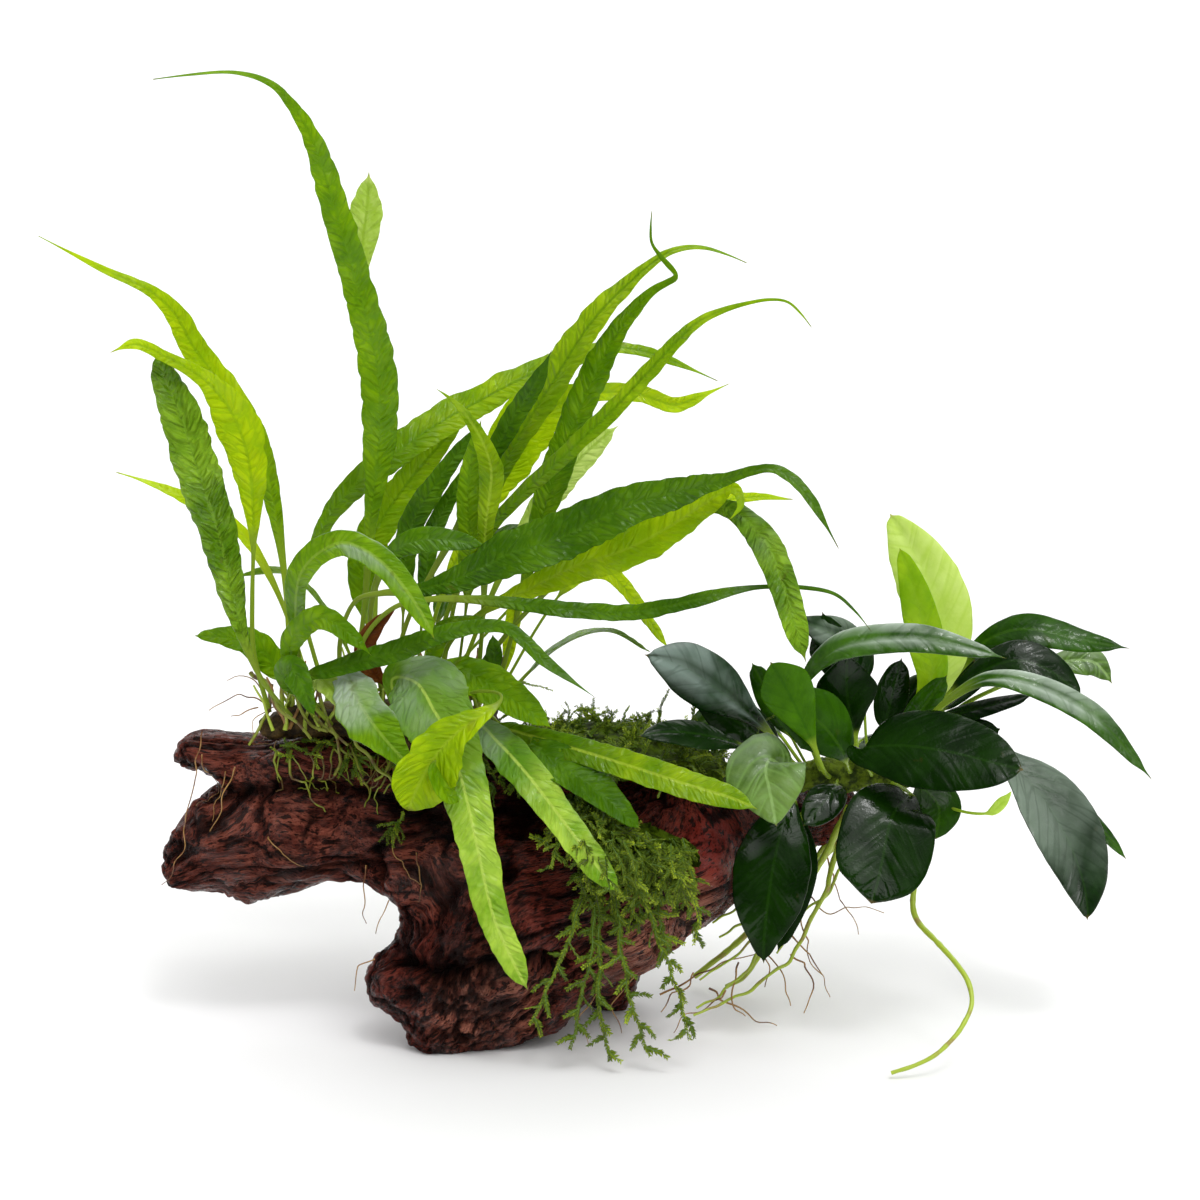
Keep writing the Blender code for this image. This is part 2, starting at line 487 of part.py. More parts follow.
def moss_cushion(name, stations, neighbours, material):
    """A pad of moss cut to lie on its neighbours; the pad is handed back for the next one to meet."""
    bm = bmesh.new()
    limb(bm, stations, sides=MOSS_SIDES)
    bmesh.ops.triangulate(bm, faces=bm.faces)
    bmesh.ops.subdivide_edges(bm, edges=[e for e in bm.edges if e.calc_length() > MOSS_EDGE], cuts=1)
    bmesh.ops.triangulate(bm, faces=bm.faces)
    roughen(bm, MOSS_LUMP_SIZE, MOSS_LUMP_DEPTH)
    for neighbour in neighbours:
        bm = combined(bm, grown(neighbour), "DIFFERENCE", material)
        largest_only(bm)
    object_from(bm.copy(), name, material)
    return bm


def largest_only(bm):
    """Drops loose crumbs that a cut left beside the main body."""
    bm.verts.ensure_lookup_table()
    unseen = set(bm.verts)
    islands = []
    while unseen:
        stack = [unseen.pop()]
        island = set(stack)
        while stack:
            for edge in stack.pop().link_edges:
                for vert in edge.verts:
                    if vert in unseen:
                        unseen.remove(vert)
                        island.add(vert)
                        stack.append(vert)
        islands.append(island)
    islands.sort(key=len)
    crumbs = [vert for island in islands[:-1] for vert in island]
    bmesh.ops.delete(bm, geom=crumbs, context="VERTS")


def rhizome(name, strands, wood, material):
    """Creeping stems grown together, resting on the wood."""
    bm = bmesh.new()
    for strand in strands:
        stations = [(*point, radius, radius) for point, radius in strand]
        limb(bm, stations, sides=RHIZOME_SIDES)
    bm = fused(bm, RHIZOME_VOXEL, RHIZOME_KEPT_FACES, material)
    cut = combined(bm, grown(wood), "DIFFERENCE", material)
    bm.free()
    largest_only(cut)
    skin = BVHTree.FromBMesh(cut)
    object_from(cut, name, material)
    return skin


def on_bark(stations, bark):
    """The midrib with its start moved to just above the rhizome's surface."""
    inside = Vector(stations[0][:3])
    outside = Vector(stations[1][:3])
    outward = (outside - inside).normalized()
    hit, normal, _, _ = bark.ray_cast(outside, -outward)
    if hit is None:
        hit, outward, _, _ = bark.find_nearest(outside)
        normal = outward
    start = hit + outward * BASE_CLEARANCE / max(LEAST_SLOPE, normal.dot(outward))
    return [(*start, stations[0][3]), *stations[1:]]


def between(stations, steps):
    """Rings' places, tangents, widths and sweeps: steps of them on the smooth curve after each station."""
    padded = [Vector((*station, 0)[:5]) for station in stations]
    ends = [2 * padded[0] - padded[1], *padded, 2 * padded[-1] - padded[-2]]
    fine = []
    for before, start, end, after in zip(ends, ends[1:], ends[2:], ends[3:]):
        for step in range(steps):
            t = step / steps
            fine.append(0.5 * (
                2 * start + (end - before) * t
                + (2 * before - 5 * start + 4 * end - after) * t * t
                + (3 * start - before - 3 * end + after) * t ** 3
            ))
    fine.append(padded[-1])
    places = [Vector(point[:3]) for point in fine]
    return places, directions(places), [point[3] for point in fine], [point[4] for point in fine]


def blade(name, stations, faces, bark, material):
    """A closed blade: each ring is left edge, upper midrib, right edge, lower midrib."""
    places, tangents, widths, sweeps = between(on_bark(stations, bark), BLADE_STEPS)
    rings = []
    for index, (place, tangent) in enumerate(zip(places[:-1], tangents)):
        share = index / len(places)
        face = Vector(faces[0]).normalized().lerp(Vector(faces[1]).normalized(), share)
        up = (face - tangent * face.dot(tangent)).normalized()
        side = tangent.cross(up).normalized()
        reach = 0.5 * max(PETIOLE_WIDTH, widths[index])
        is_petiole = widths[index] < WIDEST_PETIOLE
        bulk = PETIOLE_THICKNESS if is_petiole else BLADE_THICKNESS
        fold = 0 if is_petiole else FOLD * reach
        edge = place + up * fold - tangent * sweeps[index]
        rings.append([
            edge - side * reach,
            place + up * CREST * bulk,
            edge + side * reach,
            place - up * (1 - CREST) * bulk,
        ])
    bm = bmesh.new()
    extrude_rings(bm, rings, tip=places[-1])
    bmesh.ops.triangulate(bm, faces=bm.faces)
    return object_from(bm, name, material)


def root(name, points, radius, material):
    shares = [1 - ROOT_TAPER * index / len(points) for index in range(len(points))]
    stations = [(*point, radius * share) for point, share in zip(points, shares)]
    places, tangents, radii, _ = between(stations, ROOT_STEPS)
    rings = [
        ellipse_ring(place, tangent, reach, reach, ROOT_SIDES)
        for place, tangent, reach in zip(places, tangents, radii)
    ]
    bm = bmesh.new()
    extrude_rings(bm, rings)
    return object_from(bm, name, material)


def stand_on_origin():
    """Moves everything so that the origin is under the middle of the whole, on the floor."""
    bpy.context.view_layer.update()
    shown = [obj for obj in bpy.data.objects if obj.type == "MESH" and not obj.hide_render]
    corners = [obj.matrix_world @ Vector(corner) for obj in shown for corner in obj.bound_box]
    low = [min(corner[axis] for corner in corners) for axis in range(3)]
    high = [max(corner[axis] for corner in corners) for axis in range(3)]
    plant = bpy.data.objects.new("plant", None)
    bpy.context.scene.collection.objects.link(plant)
    plant.location = (-(low[0] + high[0]) / 2, -(low[1] + high[1]) / 2, -low[2])
    for obj in shown:
        obj.parent = plant


def main():
    clear_scene()
    materials = make_materials()
    wood = driftwood(materials["wood"])
    fern_bark = rhizome(
        "fern_rhizome", (FERN_RHIZOME, FERN_BRANCH, FERN_FRONT_BRANCH), wood, materials["rhizome"]
    )
    anubias_bark = rhizome("anubias_rhizome", (ANUBIAS_RHIZOME,), wood, materials["rhizome"])
    mat = moss_cushion("moss_mat", MOSS_MAT, (wood,), materials["moss"])
    apron = moss_cushion("moss_apron", MOSS_APRON, (wood, mat), materials["moss"])
    moss_cushion("moss_beard", MOSS_BEARD, (wood, apron), materials["moss"])
    split_driftwood(wood, materials["wood"])
    for name, points, radius in ROOTS:
        root(name, points, radius, materials["root"])
    for name, face, tip_face, stations in FRONDS:
        blade(name, stations, (face, tip_face), fern_bark, materials["fern"])
    for name, face, tip_face, stations in LEAVES:
        blade(name, stations, (face, tip_face), anubias_bark, materials["anubias"])
    stand_on_origin()


main()
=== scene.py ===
# %% [markdown]
# # Java fern, dwarf anubias and moss on driftwood
#
# Three plants share one piece of dark red wood: a fern with long strap-shaped fronds on the left, a small
# anubias with broad waxy leaves on the right, and a pad of moss between them that hangs down to the floor
# in strands.
#
# The solid model gives the size and place of every piece. It is loaded first and never changed. Everything
# below reads its places from that frame and builds the surface that the eye sees around it.

# %% Load the frame
import itertools
import math

import bmesh
import bpy
import numpy as np
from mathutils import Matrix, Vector, noise
from mathutils.bvhtree import BVHTree


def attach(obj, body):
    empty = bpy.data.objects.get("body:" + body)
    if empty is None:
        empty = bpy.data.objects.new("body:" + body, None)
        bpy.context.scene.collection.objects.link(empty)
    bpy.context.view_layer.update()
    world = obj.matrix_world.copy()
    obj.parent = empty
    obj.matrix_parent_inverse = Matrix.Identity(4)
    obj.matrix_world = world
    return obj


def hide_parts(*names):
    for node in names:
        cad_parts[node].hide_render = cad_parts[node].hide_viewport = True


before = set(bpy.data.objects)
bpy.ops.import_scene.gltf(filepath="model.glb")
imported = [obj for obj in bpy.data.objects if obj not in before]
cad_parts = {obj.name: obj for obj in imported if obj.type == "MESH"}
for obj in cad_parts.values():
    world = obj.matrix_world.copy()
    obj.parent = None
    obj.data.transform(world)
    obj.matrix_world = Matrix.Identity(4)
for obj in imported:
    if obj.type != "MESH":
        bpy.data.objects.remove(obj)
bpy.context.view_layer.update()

MM = 0.001

# %% [markdown]
# ## The camera, the floor and the light
#
# The plant is seen nearly from the front, from 12 degrees above, through a long lens, so that nothing looks
# stretched. The floor is white paper that runs out of sight. Two wide lamps, one overhead and one in front,
# throw the soft shadow back under the wood. A smaller key lamp on the right makes the wet glints, a weak
# one behind shines through the leaves, and a sky that is brightest above and behind gives their upper sides
# a grey sheen, to which the leaf finishes add a painted sheen on faces that look up.

# %% Camera
VIEW_TARGET = Vector((1.5, -6.5, 135)) * MM
VIEW_DISTANCE = 1.1
VIEW_ELEVATION = math.radians(12)

camera = bpy.data.objects.new("camera", bpy.data.cameras.new("camera"))
camera.data.lens = 110
camera.data.sensor_width = 36
camera.data.clip_start = 0.05
camera.data.clip_end = 30
outward = Vector((0, -math.cos(VIEW_ELEVATION), math.sin(VIEW_ELEVATION)))
camera.location = VIEW_TARGET + outward * VIEW_DISTANCE
camera.rotation_euler = (-outward).to_track_quat("-Z", "Y").to_euler()
bpy.context.scene.collection.objects.link(camera)
bpy.context.scene.camera = camera
bpy.context.scene.view_settings.view_transform = "Standard"
print("camera at", [round(v, 3) for v in camera.location])


# %% Lamps and sky
def soft_lamp(name, towards, softness, strength):
    """A lamp far away in that direction; softness is the angle in degrees that it fills."""
    light = bpy.data.lights.new(name, "SUN")
    light.angle = math.radians(softness)
    light.energy = strength
    lamp = bpy.data.objects.new(name, light)
    lamp.location = Vector(towards).normalized() * 2
    lamp.rotation_euler = Vector(towards).to_track_quat("Z", "Y").to_euler()
    bpy.context.scene.collection.objects.link(lamp)
    return lamp


soft_lamp("lamp_overhead", (0.30, -0.45, 1.0), 55, 1.05)
soft_lamp("lamp_front", (0.30, -1.0, 0.95), 55, 1.15)
soft_lamp("lamp_key", (0.20, -0.60, 0.95), 12, 0.50)
soft_lamp("lamp_behind", (0.30, 0.75, 0.85), 20, 0.20)

world = bpy.data.worlds.new("sky")
world.use_nodes = True
bpy.context.scene.world = world
SKY_FRONT, SKY_ABOVE, SKY_BEHIND = 0.06, 0.55, 1.50  # brightness
SKY_BRIGHT = (0, 0.77, 0.64)

# %% [markdown]
# ## Shader nodes in few words
#
# Every finish here is a small tree of shader nodes. One helper adds a node, sets its values and plugs in
# what feeds it, so that a material reads from top to bottom like a recipe.


# %% Helpers for shader trees
def add(tree, kind, sockets=None, **settings):
    """A new shader node. A socket given as a value is set; one given as another node's output is linked."""
    made = tree.nodes.new("ShaderNode" + kind)
    for name, value in settings.items():
        setattr(made, name, value)
    for name, value in (sockets or {}).items():
        if isinstance(value, bpy.types.NodeSocket):
            tree.links.new(value, made.inputs[name])
        else:
            made.inputs[name].default_value = value
    return made


def maths(tree, operation, first, second=0.0, third=0.0):
    return add(tree, "Math", {0: first, 1: second, 2: third}, operation=operation).outputs[0]


def stretch(tree, value, low, high, floor=0.0, ceiling=1.0):
    """The value between low and high, spread from floor to ceiling and held there outside."""
    sockets = {"Value": value, "From Min": low, "From Max": high, "To Min": floor, "To Max": ceiling}
    return add(tree, "MapRange", sockets, interpolation_type="SMOOTHSTEP").outputs["Result"]


def blend(tree, share, first, second):
    """A mix of two colours: share 0 gives the first."""
    made = tree.nodes.new("ShaderNodeMix")
    made.data_type = "RGBA"
    for name, value in (("Factor_Float", share), ("A_Color", first), ("B_Color", second)):
        socket = next(s for s in made.inputs if s.identifier == name)
        if isinstance(value, bpy.types.NodeSocket):
            tree.links.new(value, socket)
        else:
            socket.default_value = value if name == "Factor_Float" else (*value[:3], 1)
    return next(s for s in made.outputs if s.identifier == "Result_Color")


def attribute(tree, name):
    return add(tree, "Attribute", attribute_name=name)


def grains(tree, vector, scale, detail=2.0, roughness=0.5, distortion=0.0):
    """Cloudy noise from 0 to 1."""
    sockets = {"Vector": vector, "Scale": scale, "Detail": detail, "Roughness": roughness,
        "Distortion": distortion}
    return add(tree, "TexNoise", sockets).outputs["Fac"]


def new_group(name, inputs, outputs):
    """An empty node group with named sockets; gives the tree, its inputs and its output node."""
    tree = bpy.data.node_groups.new(name, "ShaderNodeTree")
    for label, kind, value in inputs:
        socket = tree.interface.new_socket(label, in_out="INPUT", socket_type=kind)
        if value is not None:
            socket.default_value = value
    for label, kind in outputs:
        tree.interface.new_socket(label, in_out="OUTPUT", socket_type=kind)
    return tree, tree.nodes.new("NodeGroupInput").outputs, tree.nodes.new("NodeGroupOutput")


def use_group(tree, group, **sockets):
    made = tree.nodes.new("ShaderNodeGroup")
    made.node_tree = group
    for label, value in sockets.items():
        name = label.replace("_", " ")
        if isinstance(value, bpy.types.NodeSocket):
            tree.links.new(value, made.inputs[name])
        else:
            made.inputs[name].default_value = value
    return made.outputs


def new_material(name):
    """A material with its shader tree, its Principled shader and its output node."""
    material = bpy.data.materials.new(name)
    material.use_nodes = True
    tree = material.node_tree
    return material, tree, tree.nodes["Principled BSDF"], tree.nodes["Material Output"]


# %% Bright above and behind, dim in front
direction = add(world.node_tree, "TexCoord").outputs["Generated"]
towards = add(world.node_tree, "VectorMath", {0: direction, 1: SKY_BRIGHT},
    operation="DOT_PRODUCT").outputs["Value"]
brightness = stretch(world.node_tree, towards, -0.75, 0.55, SKY_FRONT, SKY_ABOVE)
glare = stretch(world.node_tree, towards, 0.68, 0.93, 0.0, SKY_BEHIND - SKY_ABOVE)
brightness = maths(world.node_tree, "ADD", brightness, glare)
world.node_tree.links.new(brightness, world.node_tree.nodes["Background"].inputs["Strength"])
world.node_tree.nodes["Background"].inputs["Color"].default_value = (1, 1, 1, 1)


# %% Floor
def paper_material():
    material, tree, shader, _ = new_material("white_paper")
    shader.inputs["Base Color"].default_value = (0.90, 0.90, 0.90, 1)
    shader.inputs["Roughness"].default_value = 0.9
    shader.inputs["Specular IOR Level"].default_value = 0.1
    return material


floor_mesh = bmesh.new()
bmesh.ops.create_grid(floor_mesh, x_segments=1, y_segments=1, size=9)
floor = bpy.data.objects.new("paper_floor", bpy.data.meshes.new("paper_floor"))
floor_mesh.to_mesh(floor.data)
floor_mesh.free()
floor.data.materials.append(paper_material())
bpy.context.scene.collection.objects.link(floor)

# %% [markdown]
# ## Finished pieces
#
# Each piece ends the same way: a mesh in metres whose object sits at the origin, one material and smooth
# shading, hung from the root body. The solids that it stands for are hidden and stay as they are.


# %% Put a piece in the scene
def finished(mesh, name, material, slot, *nodes):
    mesh.name = name
    mesh.materials.clear()
    mesh.materials.append(material)
    mesh.shade_smooth()
    piece = bpy.data.objects.new(name, mesh)
    bpy.context.scene.collection.objects.link(piece)
    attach(piece, "root")
    if nodes:
        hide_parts(*nodes)
    return piece


def points_of(mesh):
    flat = np.empty(len(mesh.vertices) * 3, np.float32)
    mesh.vertices.foreach_get("co", flat)
    return flat.reshape(-1, 3).astype(float)


def set_points(mesh, points):
    mesh.vertices.foreach_set("co", np.ascontiguousarray(points, np.float32).ravel())
    mesh.update()


def set_attribute(mesh, name, values):
    """Stores three numbers for each vertex, which a material reads by name."""
    made = mesh.attributes.new(name, "FLOAT_VECTOR", "POINT")
    made.data.foreach_set("vector", np.ascontiguousarray(values, np.float32).ravel())


def noise_at(points, size, seed=0.0):
    """Smooth noise from -1 to 1 at each point, with lumps of about that size."""
    scaled = np.asarray(points, float) / size + seed
    return np.array([noise.noise(point) for point in scaled.tolist()])


def smoothstep(low, high, values):
    share = np.clip((values - low) / (high - low), 0, 1)
    return share * share * (3 - 2 * share)


# %% [markdown]
# ## The driftwood
#
# Driftwood is what is left of a root after the soft parts have rotted away: hard ribs of grain with furrows
# between them, knots where the grain swirls, and hollows. The solid model gives the limbs, split at the
# forks. Their copies are joined and remeshed with small voxels, which grows the limbs together into one
# skin of even faces.
#
# The grain has to follow each limb. So every point gets grain coordinates: its place turned so that x runs
# along the limb it belongs to, with the limbs mixed smoothly near a fork. Noise that is stretched along
# that x gives the furrows, the fibres and the streaks of colour, and near the forks it swirls by itself, as
# real grain does.

# %% Join the limbs into one skin
WOOD_NODES = [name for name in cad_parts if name.startswith("wood_")]
WOOD_VOXEL = 0.9
DESIGN_SHIFT = np.array([1.5, -6.5, 0.0])  # from the middle of the fork to the origin under the whole plant


def joined_copy(nodes, voxel, name):
    """Copies of the solids grown together with voxels of that size in mm, as a new mesh."""
    bm = bmesh.new()
    for node in nodes:
        bm.from_mesh(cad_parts[node].data)
    bmesh.ops.remove_doubles(bm, verts=bm.verts, dist=1e-6)
    mesh = bpy.data.meshes.new(name)
    bm.to_mesh(mesh)
    bm.free()
    helper = bpy.data.objects.new(name, mesh)
    bpy.context.scene.collection.objects.link(helper)
    remesh = helper.modifiers.new("grow together", "REMESH")
    remesh.mode = "VOXEL"
    remesh.voxel_size = voxel * MM
    graph = bpy.context.evaluated_depsgraph_get()
    skin = bpy.data.meshes.new_from_object(helper.evaluated_get(graph))
    bpy.data.objects.remove(helper)
    return skin


def smoothed(mesh, rounds):
    """Rounds off the facets of the solids."""
    bm = bmesh.new()
    bm.from_mesh(mesh)
    for _ in range(rounds):
        bmesh.ops.smooth_vert(bm, verts=bm.verts, factor=0.5, use_axis_x=True, use_axis_y=True,
            use_axis_z=True)
    bm.to_mesh(mesh)
    bm.free()


def normals_of(mesh):
    flat = np.empty(len(mesh.vertices) * 3, np.float32)
    mesh.vertices.foreach_get("normal", flat)
    return flat.reshape(-1, 3).astype(float)


wood_mesh = joined_copy(WOOD_NODES, WOOD_VOXEL, "driftwood")
smoothed(wood_mesh, 8)
print("driftwood faces:", len(wood_mesh.polygons))

# %% Grain coordinates
# Each limb: two points on its middle line, in mm, from the thick end to the thin one.
GRAIN_LINES = (
    ((0, -2, 72), (-125, 2, 84)),
    ((-15, -1, 58), (-125, -1, 52)),
    ((45, 5, 68), (-5, -2, 44)),
    ((-5, -4, 44), (-40, -18, 22)),
    ((-38, -18, 24), (-56, -25, 6)),
    ((30, 6, 66), (82, 12, 66)),
    ((-20, 14, 34), (-46, 32, 4)),
)
FORK_MIDDLE = np.array([-22.0, -6.0, 52.0])
LIMB_BLEND = 12.0


def grain_of(points):
    """Grain coordinates in mm: x along the nearest limb, y and z across it."""
    total = np.zeros_like(points)
    weights = np.zeros(len(points))
    for start, end in GRAIN_LINES:
        start, end = np.array(start, float), np.array(end, float)
        axis = (end - start) / np.linalg.norm(end - start)
        share = np.clip((points - start) @ axis, 0, np.linalg.norm(end - start))
        distance = np.linalg.norm(points - (start + share[:, None] * axis), axis=1)
        weight = np.exp(-distance / LIMB_BLEND * 2.2)
        across = np.cross((0, 1, 0), axis)
        across /= np.linalg.norm(across)
        turned = np.stack([axis, np.cross(axis, across), across])
        total += weight[:, None] * ((points - FORK_MIDDLE) @ turned.T)
        weights += weight
    return total / weights[:, None]


# %% Furrows, hollows and knobs
# Each hollow: its place on the surface and its radius and depth, in mm.
HOLLOWS = (
    ((-22, -23, 74), 9, 8), ((-27, -31, 58), 4.5, 6), ((-12, -36, 30), 5, 7), ((-45, -38, 27), 5, 4),
    ((-36, -22, 72), 8, 6), ((-50, -20, 73), 6, 4), ((20, -22, 30), 4, 2), ((-122, -8, 77), 7, 5),
    ((-60, 22, 70), 6, 4), ((10, 27, 55), 7, 5), ((-100, 20, 64), 5, 3), ((-66, -22, 57), 3, 2.5),
    ((-2, -30, 60), 4, 3), ((-56, -34, 20), 4, 3), ((-34, -39, 18), 3, 2),
)
# Each spur: its place and radius, and the way and distance it is pulled out.
SPURS = (
    ((-125, -10, 52), 6, (-4.5, 0, -3.5)), ((-122, -10, 68), 5, (-1.0, 0, 2.5)),
    ((-121, -8, 88), 5, (-3.0, 0, 2.0)),
    ((-106, -8, 46), 8, (0, 0, -3.0)), ((-64, -30, 24), 4, (-2.5, 0, 0)), ((-62, -30, 12), 4, (-2.0, 0, 1.0)),
)
ROUGH_ENDS = ((-124, -8, 82), (-124, -8, 56), (-118, -10, 68))
# Each groove: its radius and depth and the places it runs through.
GROOVES = (
    (2.6, 3.6, ((-116, -10, 74), (-104, -12, 77), (-94, -15, 79), (-81, -15, 79), (-70, -18, 79),
        (-58, -19, 75))),
    (4.5, 5.0, ((-60, -19, 74), (-50, -22, 71), (-42, -24, 70), (-32, -25, 68))),
    (2.0, 3.0, ((-66, -21, 50), (-66, -20, 61), (-60, -22, 65), (-52, -23, 67), (-42, -26, 67))),
    (3.0, 4.5, ((-58, -29, 31), (-52, -34, 29), (-44, -38, 27), (-36, -38, 29), (-27, -38, 32),
        (-17, -37, 31))),
    (2.2, 2.0, ((-100, -15, 50), (-89, -17, 53), (-78, -16, 54), (-68, -19, 56))),
    (1.8, 1.8, ((-6, -34, 46), (-14, -36, 40), (-24, -38, 38), (-34, -37, 42), (-42, -34, 46))),
    (1.8, 2.0, ((26, -24, 52), (14, -31, 44), (2, -35, 34), (-8, -36, 20), (-14, -34, 10))),
)
RED_KNOB = (np.array([36.0, -20, 62]), 13.0)
ROUGH_FOOT = (np.array([-40.0, -28, 24]), 30.0)
# Paler places: the flank, the limb and the neck, the front of the foot. The flank and the front of the foot
# face down; their lighter colour is painted light.
PALE_AND_PAINTED_LIGHT_SPOTS = (
    (((18, -20, 34), 26.0),), (((-96, -16, 66), 42.0), ((-50, -26, 56), 18.0)), (((-32, -37, 17), 22.0),),
)


def from_line(points, stations):
    """Each point's distance to a line through the stations."""
    stations = np.array(stations, float)
    nearest = np.full(len(points), 1e9)
    for start, end in zip(stations[:-1], stations[1:]):
        span = end - start
        share = np.clip((points - start) @ span / (span @ span), 0, 1)
        nearest = np.minimum(nearest, np.linalg.norm(points - start - share[:, None] * span, axis=1))
    return nearest


def cracks(points, size, width, seed=0.0):
    """Narrow lines, 1 in the middle of a crack and 0 beside it."""
    return np.exp(-(noise_at(points, size, seed) / width) ** 2)


place = points_of(wood_mesh) / MM
facing = normals_of(wood_mesh)
grain = grain_of(place)
swirl = np.stack([noise_at(place, 19, 3 * k) for k in range(3)], axis=1)
grain += swirl * 3.5
rough = smoothstep(1.35, 0.35, np.linalg.norm(place - ROUGH_FOOT[0], axis=1) / ROUGH_FOOT[1])
for end in ROUGH_ENDS:
    rough = np.maximum(rough, 0.7 * smoothstep(12, 4, np.linalg.norm(place - end, axis=1)))
smooth_spot = smoothstep(1.2, 0.4, np.linalg.norm(place - RED_KNOB[0], axis=1) / RED_KNOB[1])
long_grain = grain * (0.15, 1, 1)
short_grain = grain * (0.28, 1, 1)
patches = smoothstep(-0.25, 0.2, noise_at(place, 13, 41))
wide_cracks = cracks(long_grain, 5.5, 0.10) * (0.35 + 0.65 * patches)
thin_cracks = cracks(short_grain, 2.7, 0.13, 11) * (0.4 + 0.6 * smoothstep(-0.3, 0.3, noise_at(place, 9, 43)))
ribs = noise_at(long_grain, 6.5, 3)
fibres = noise_at(grain * (0.12, 1, 1), 1.7, 5)
lumps = 0.8 * noise_at(place, 9, 21) + 1.3 * noise_at(place, 20, 23)
knuckles = 1.9 * np.abs(noise_at(place, 6.5, 31)) + 1.1 * np.abs(noise_at(place, 3.0, 8)) - 0.8
lift = 1.1 * ribs + 0.30 * fibres + lumps - 1.5 * wide_cracks - 0.7 * thin_cracks
lift += (0.25 + 1.6 * rough) * knuckles
lift *= 1 - 0.7 * smooth_spot
# The hollows and grooves are marked too: the finish paints them near black, as painted shade.
hollow_shade = np.zeros(len(place))
wobble = 1 + 0.4 * noise_at(place, 4, 17) + 0.3 * noise_at(place, 2, 19)
for spot, radius, depth in HOLLOWS:
    near = smoothstep(1.2, 0.3, np.linalg.norm(place - np.array(spot), axis=1) / radius * wobble)
    lift -= depth * near
    hollow_shade = np.maximum(hollow_shade, near)
for radius, depth, stations in GROOVES:
    near = smoothstep(1.3, 0.2, from_line(place, stations) / radius * wobble)
    lift -= depth * near
    hollow_shade = np.maximum(hollow_shade, 0.9 * near)
moved = place + facing * lift[:, None]
for spot, radius, pull in SPURS:
    near = smoothstep(1.3, 0.1, np.linalg.norm(place - spot, axis=1) / radius * wobble)
    moved += near[:, None] * pull
moved[:, 2] = np.maximum(moved[:, 2], 0.05)
moved[:, 2] = np.where(place[:, 2] < 1.2, np.minimum(moved[:, 2], place[:, 2] * 0.6), moved[:, 2])
set_points(wood_mesh, moved * MM)
# Low in the cracks and in the dips between knuckles: the finish paints those near black, as painted shade.
relief = np.clip(1 - 0.9 * wide_cracks - 0.7 * thin_cracks - 0.5 * rough * smoothstep(0.5, 0.0, knuckles),
    0, 1)
set_attribute(wood_mesh, "grain", grain)
set_attribute(wood_mesh, "painted_shade_and_knob", np.stack([relief, hollow_shade, smooth_spot], axis=1))
tones = [np.max([smoothstep(1.2, 0.3, np.linalg.norm(place - spot, axis=1) / radius) for spot,
    radius in spots],
                axis=0) for spots in PALE_AND_PAINTED_LIGHT_SPOTS]
set_attribute(wood_mesh, "tones", np.stack(tones, axis=1))
print("wood faces:", len(wood_mesh.polygons), "relief:", round(lift.min(), 2), "to", round(lift.max(), 2),
    "mm")
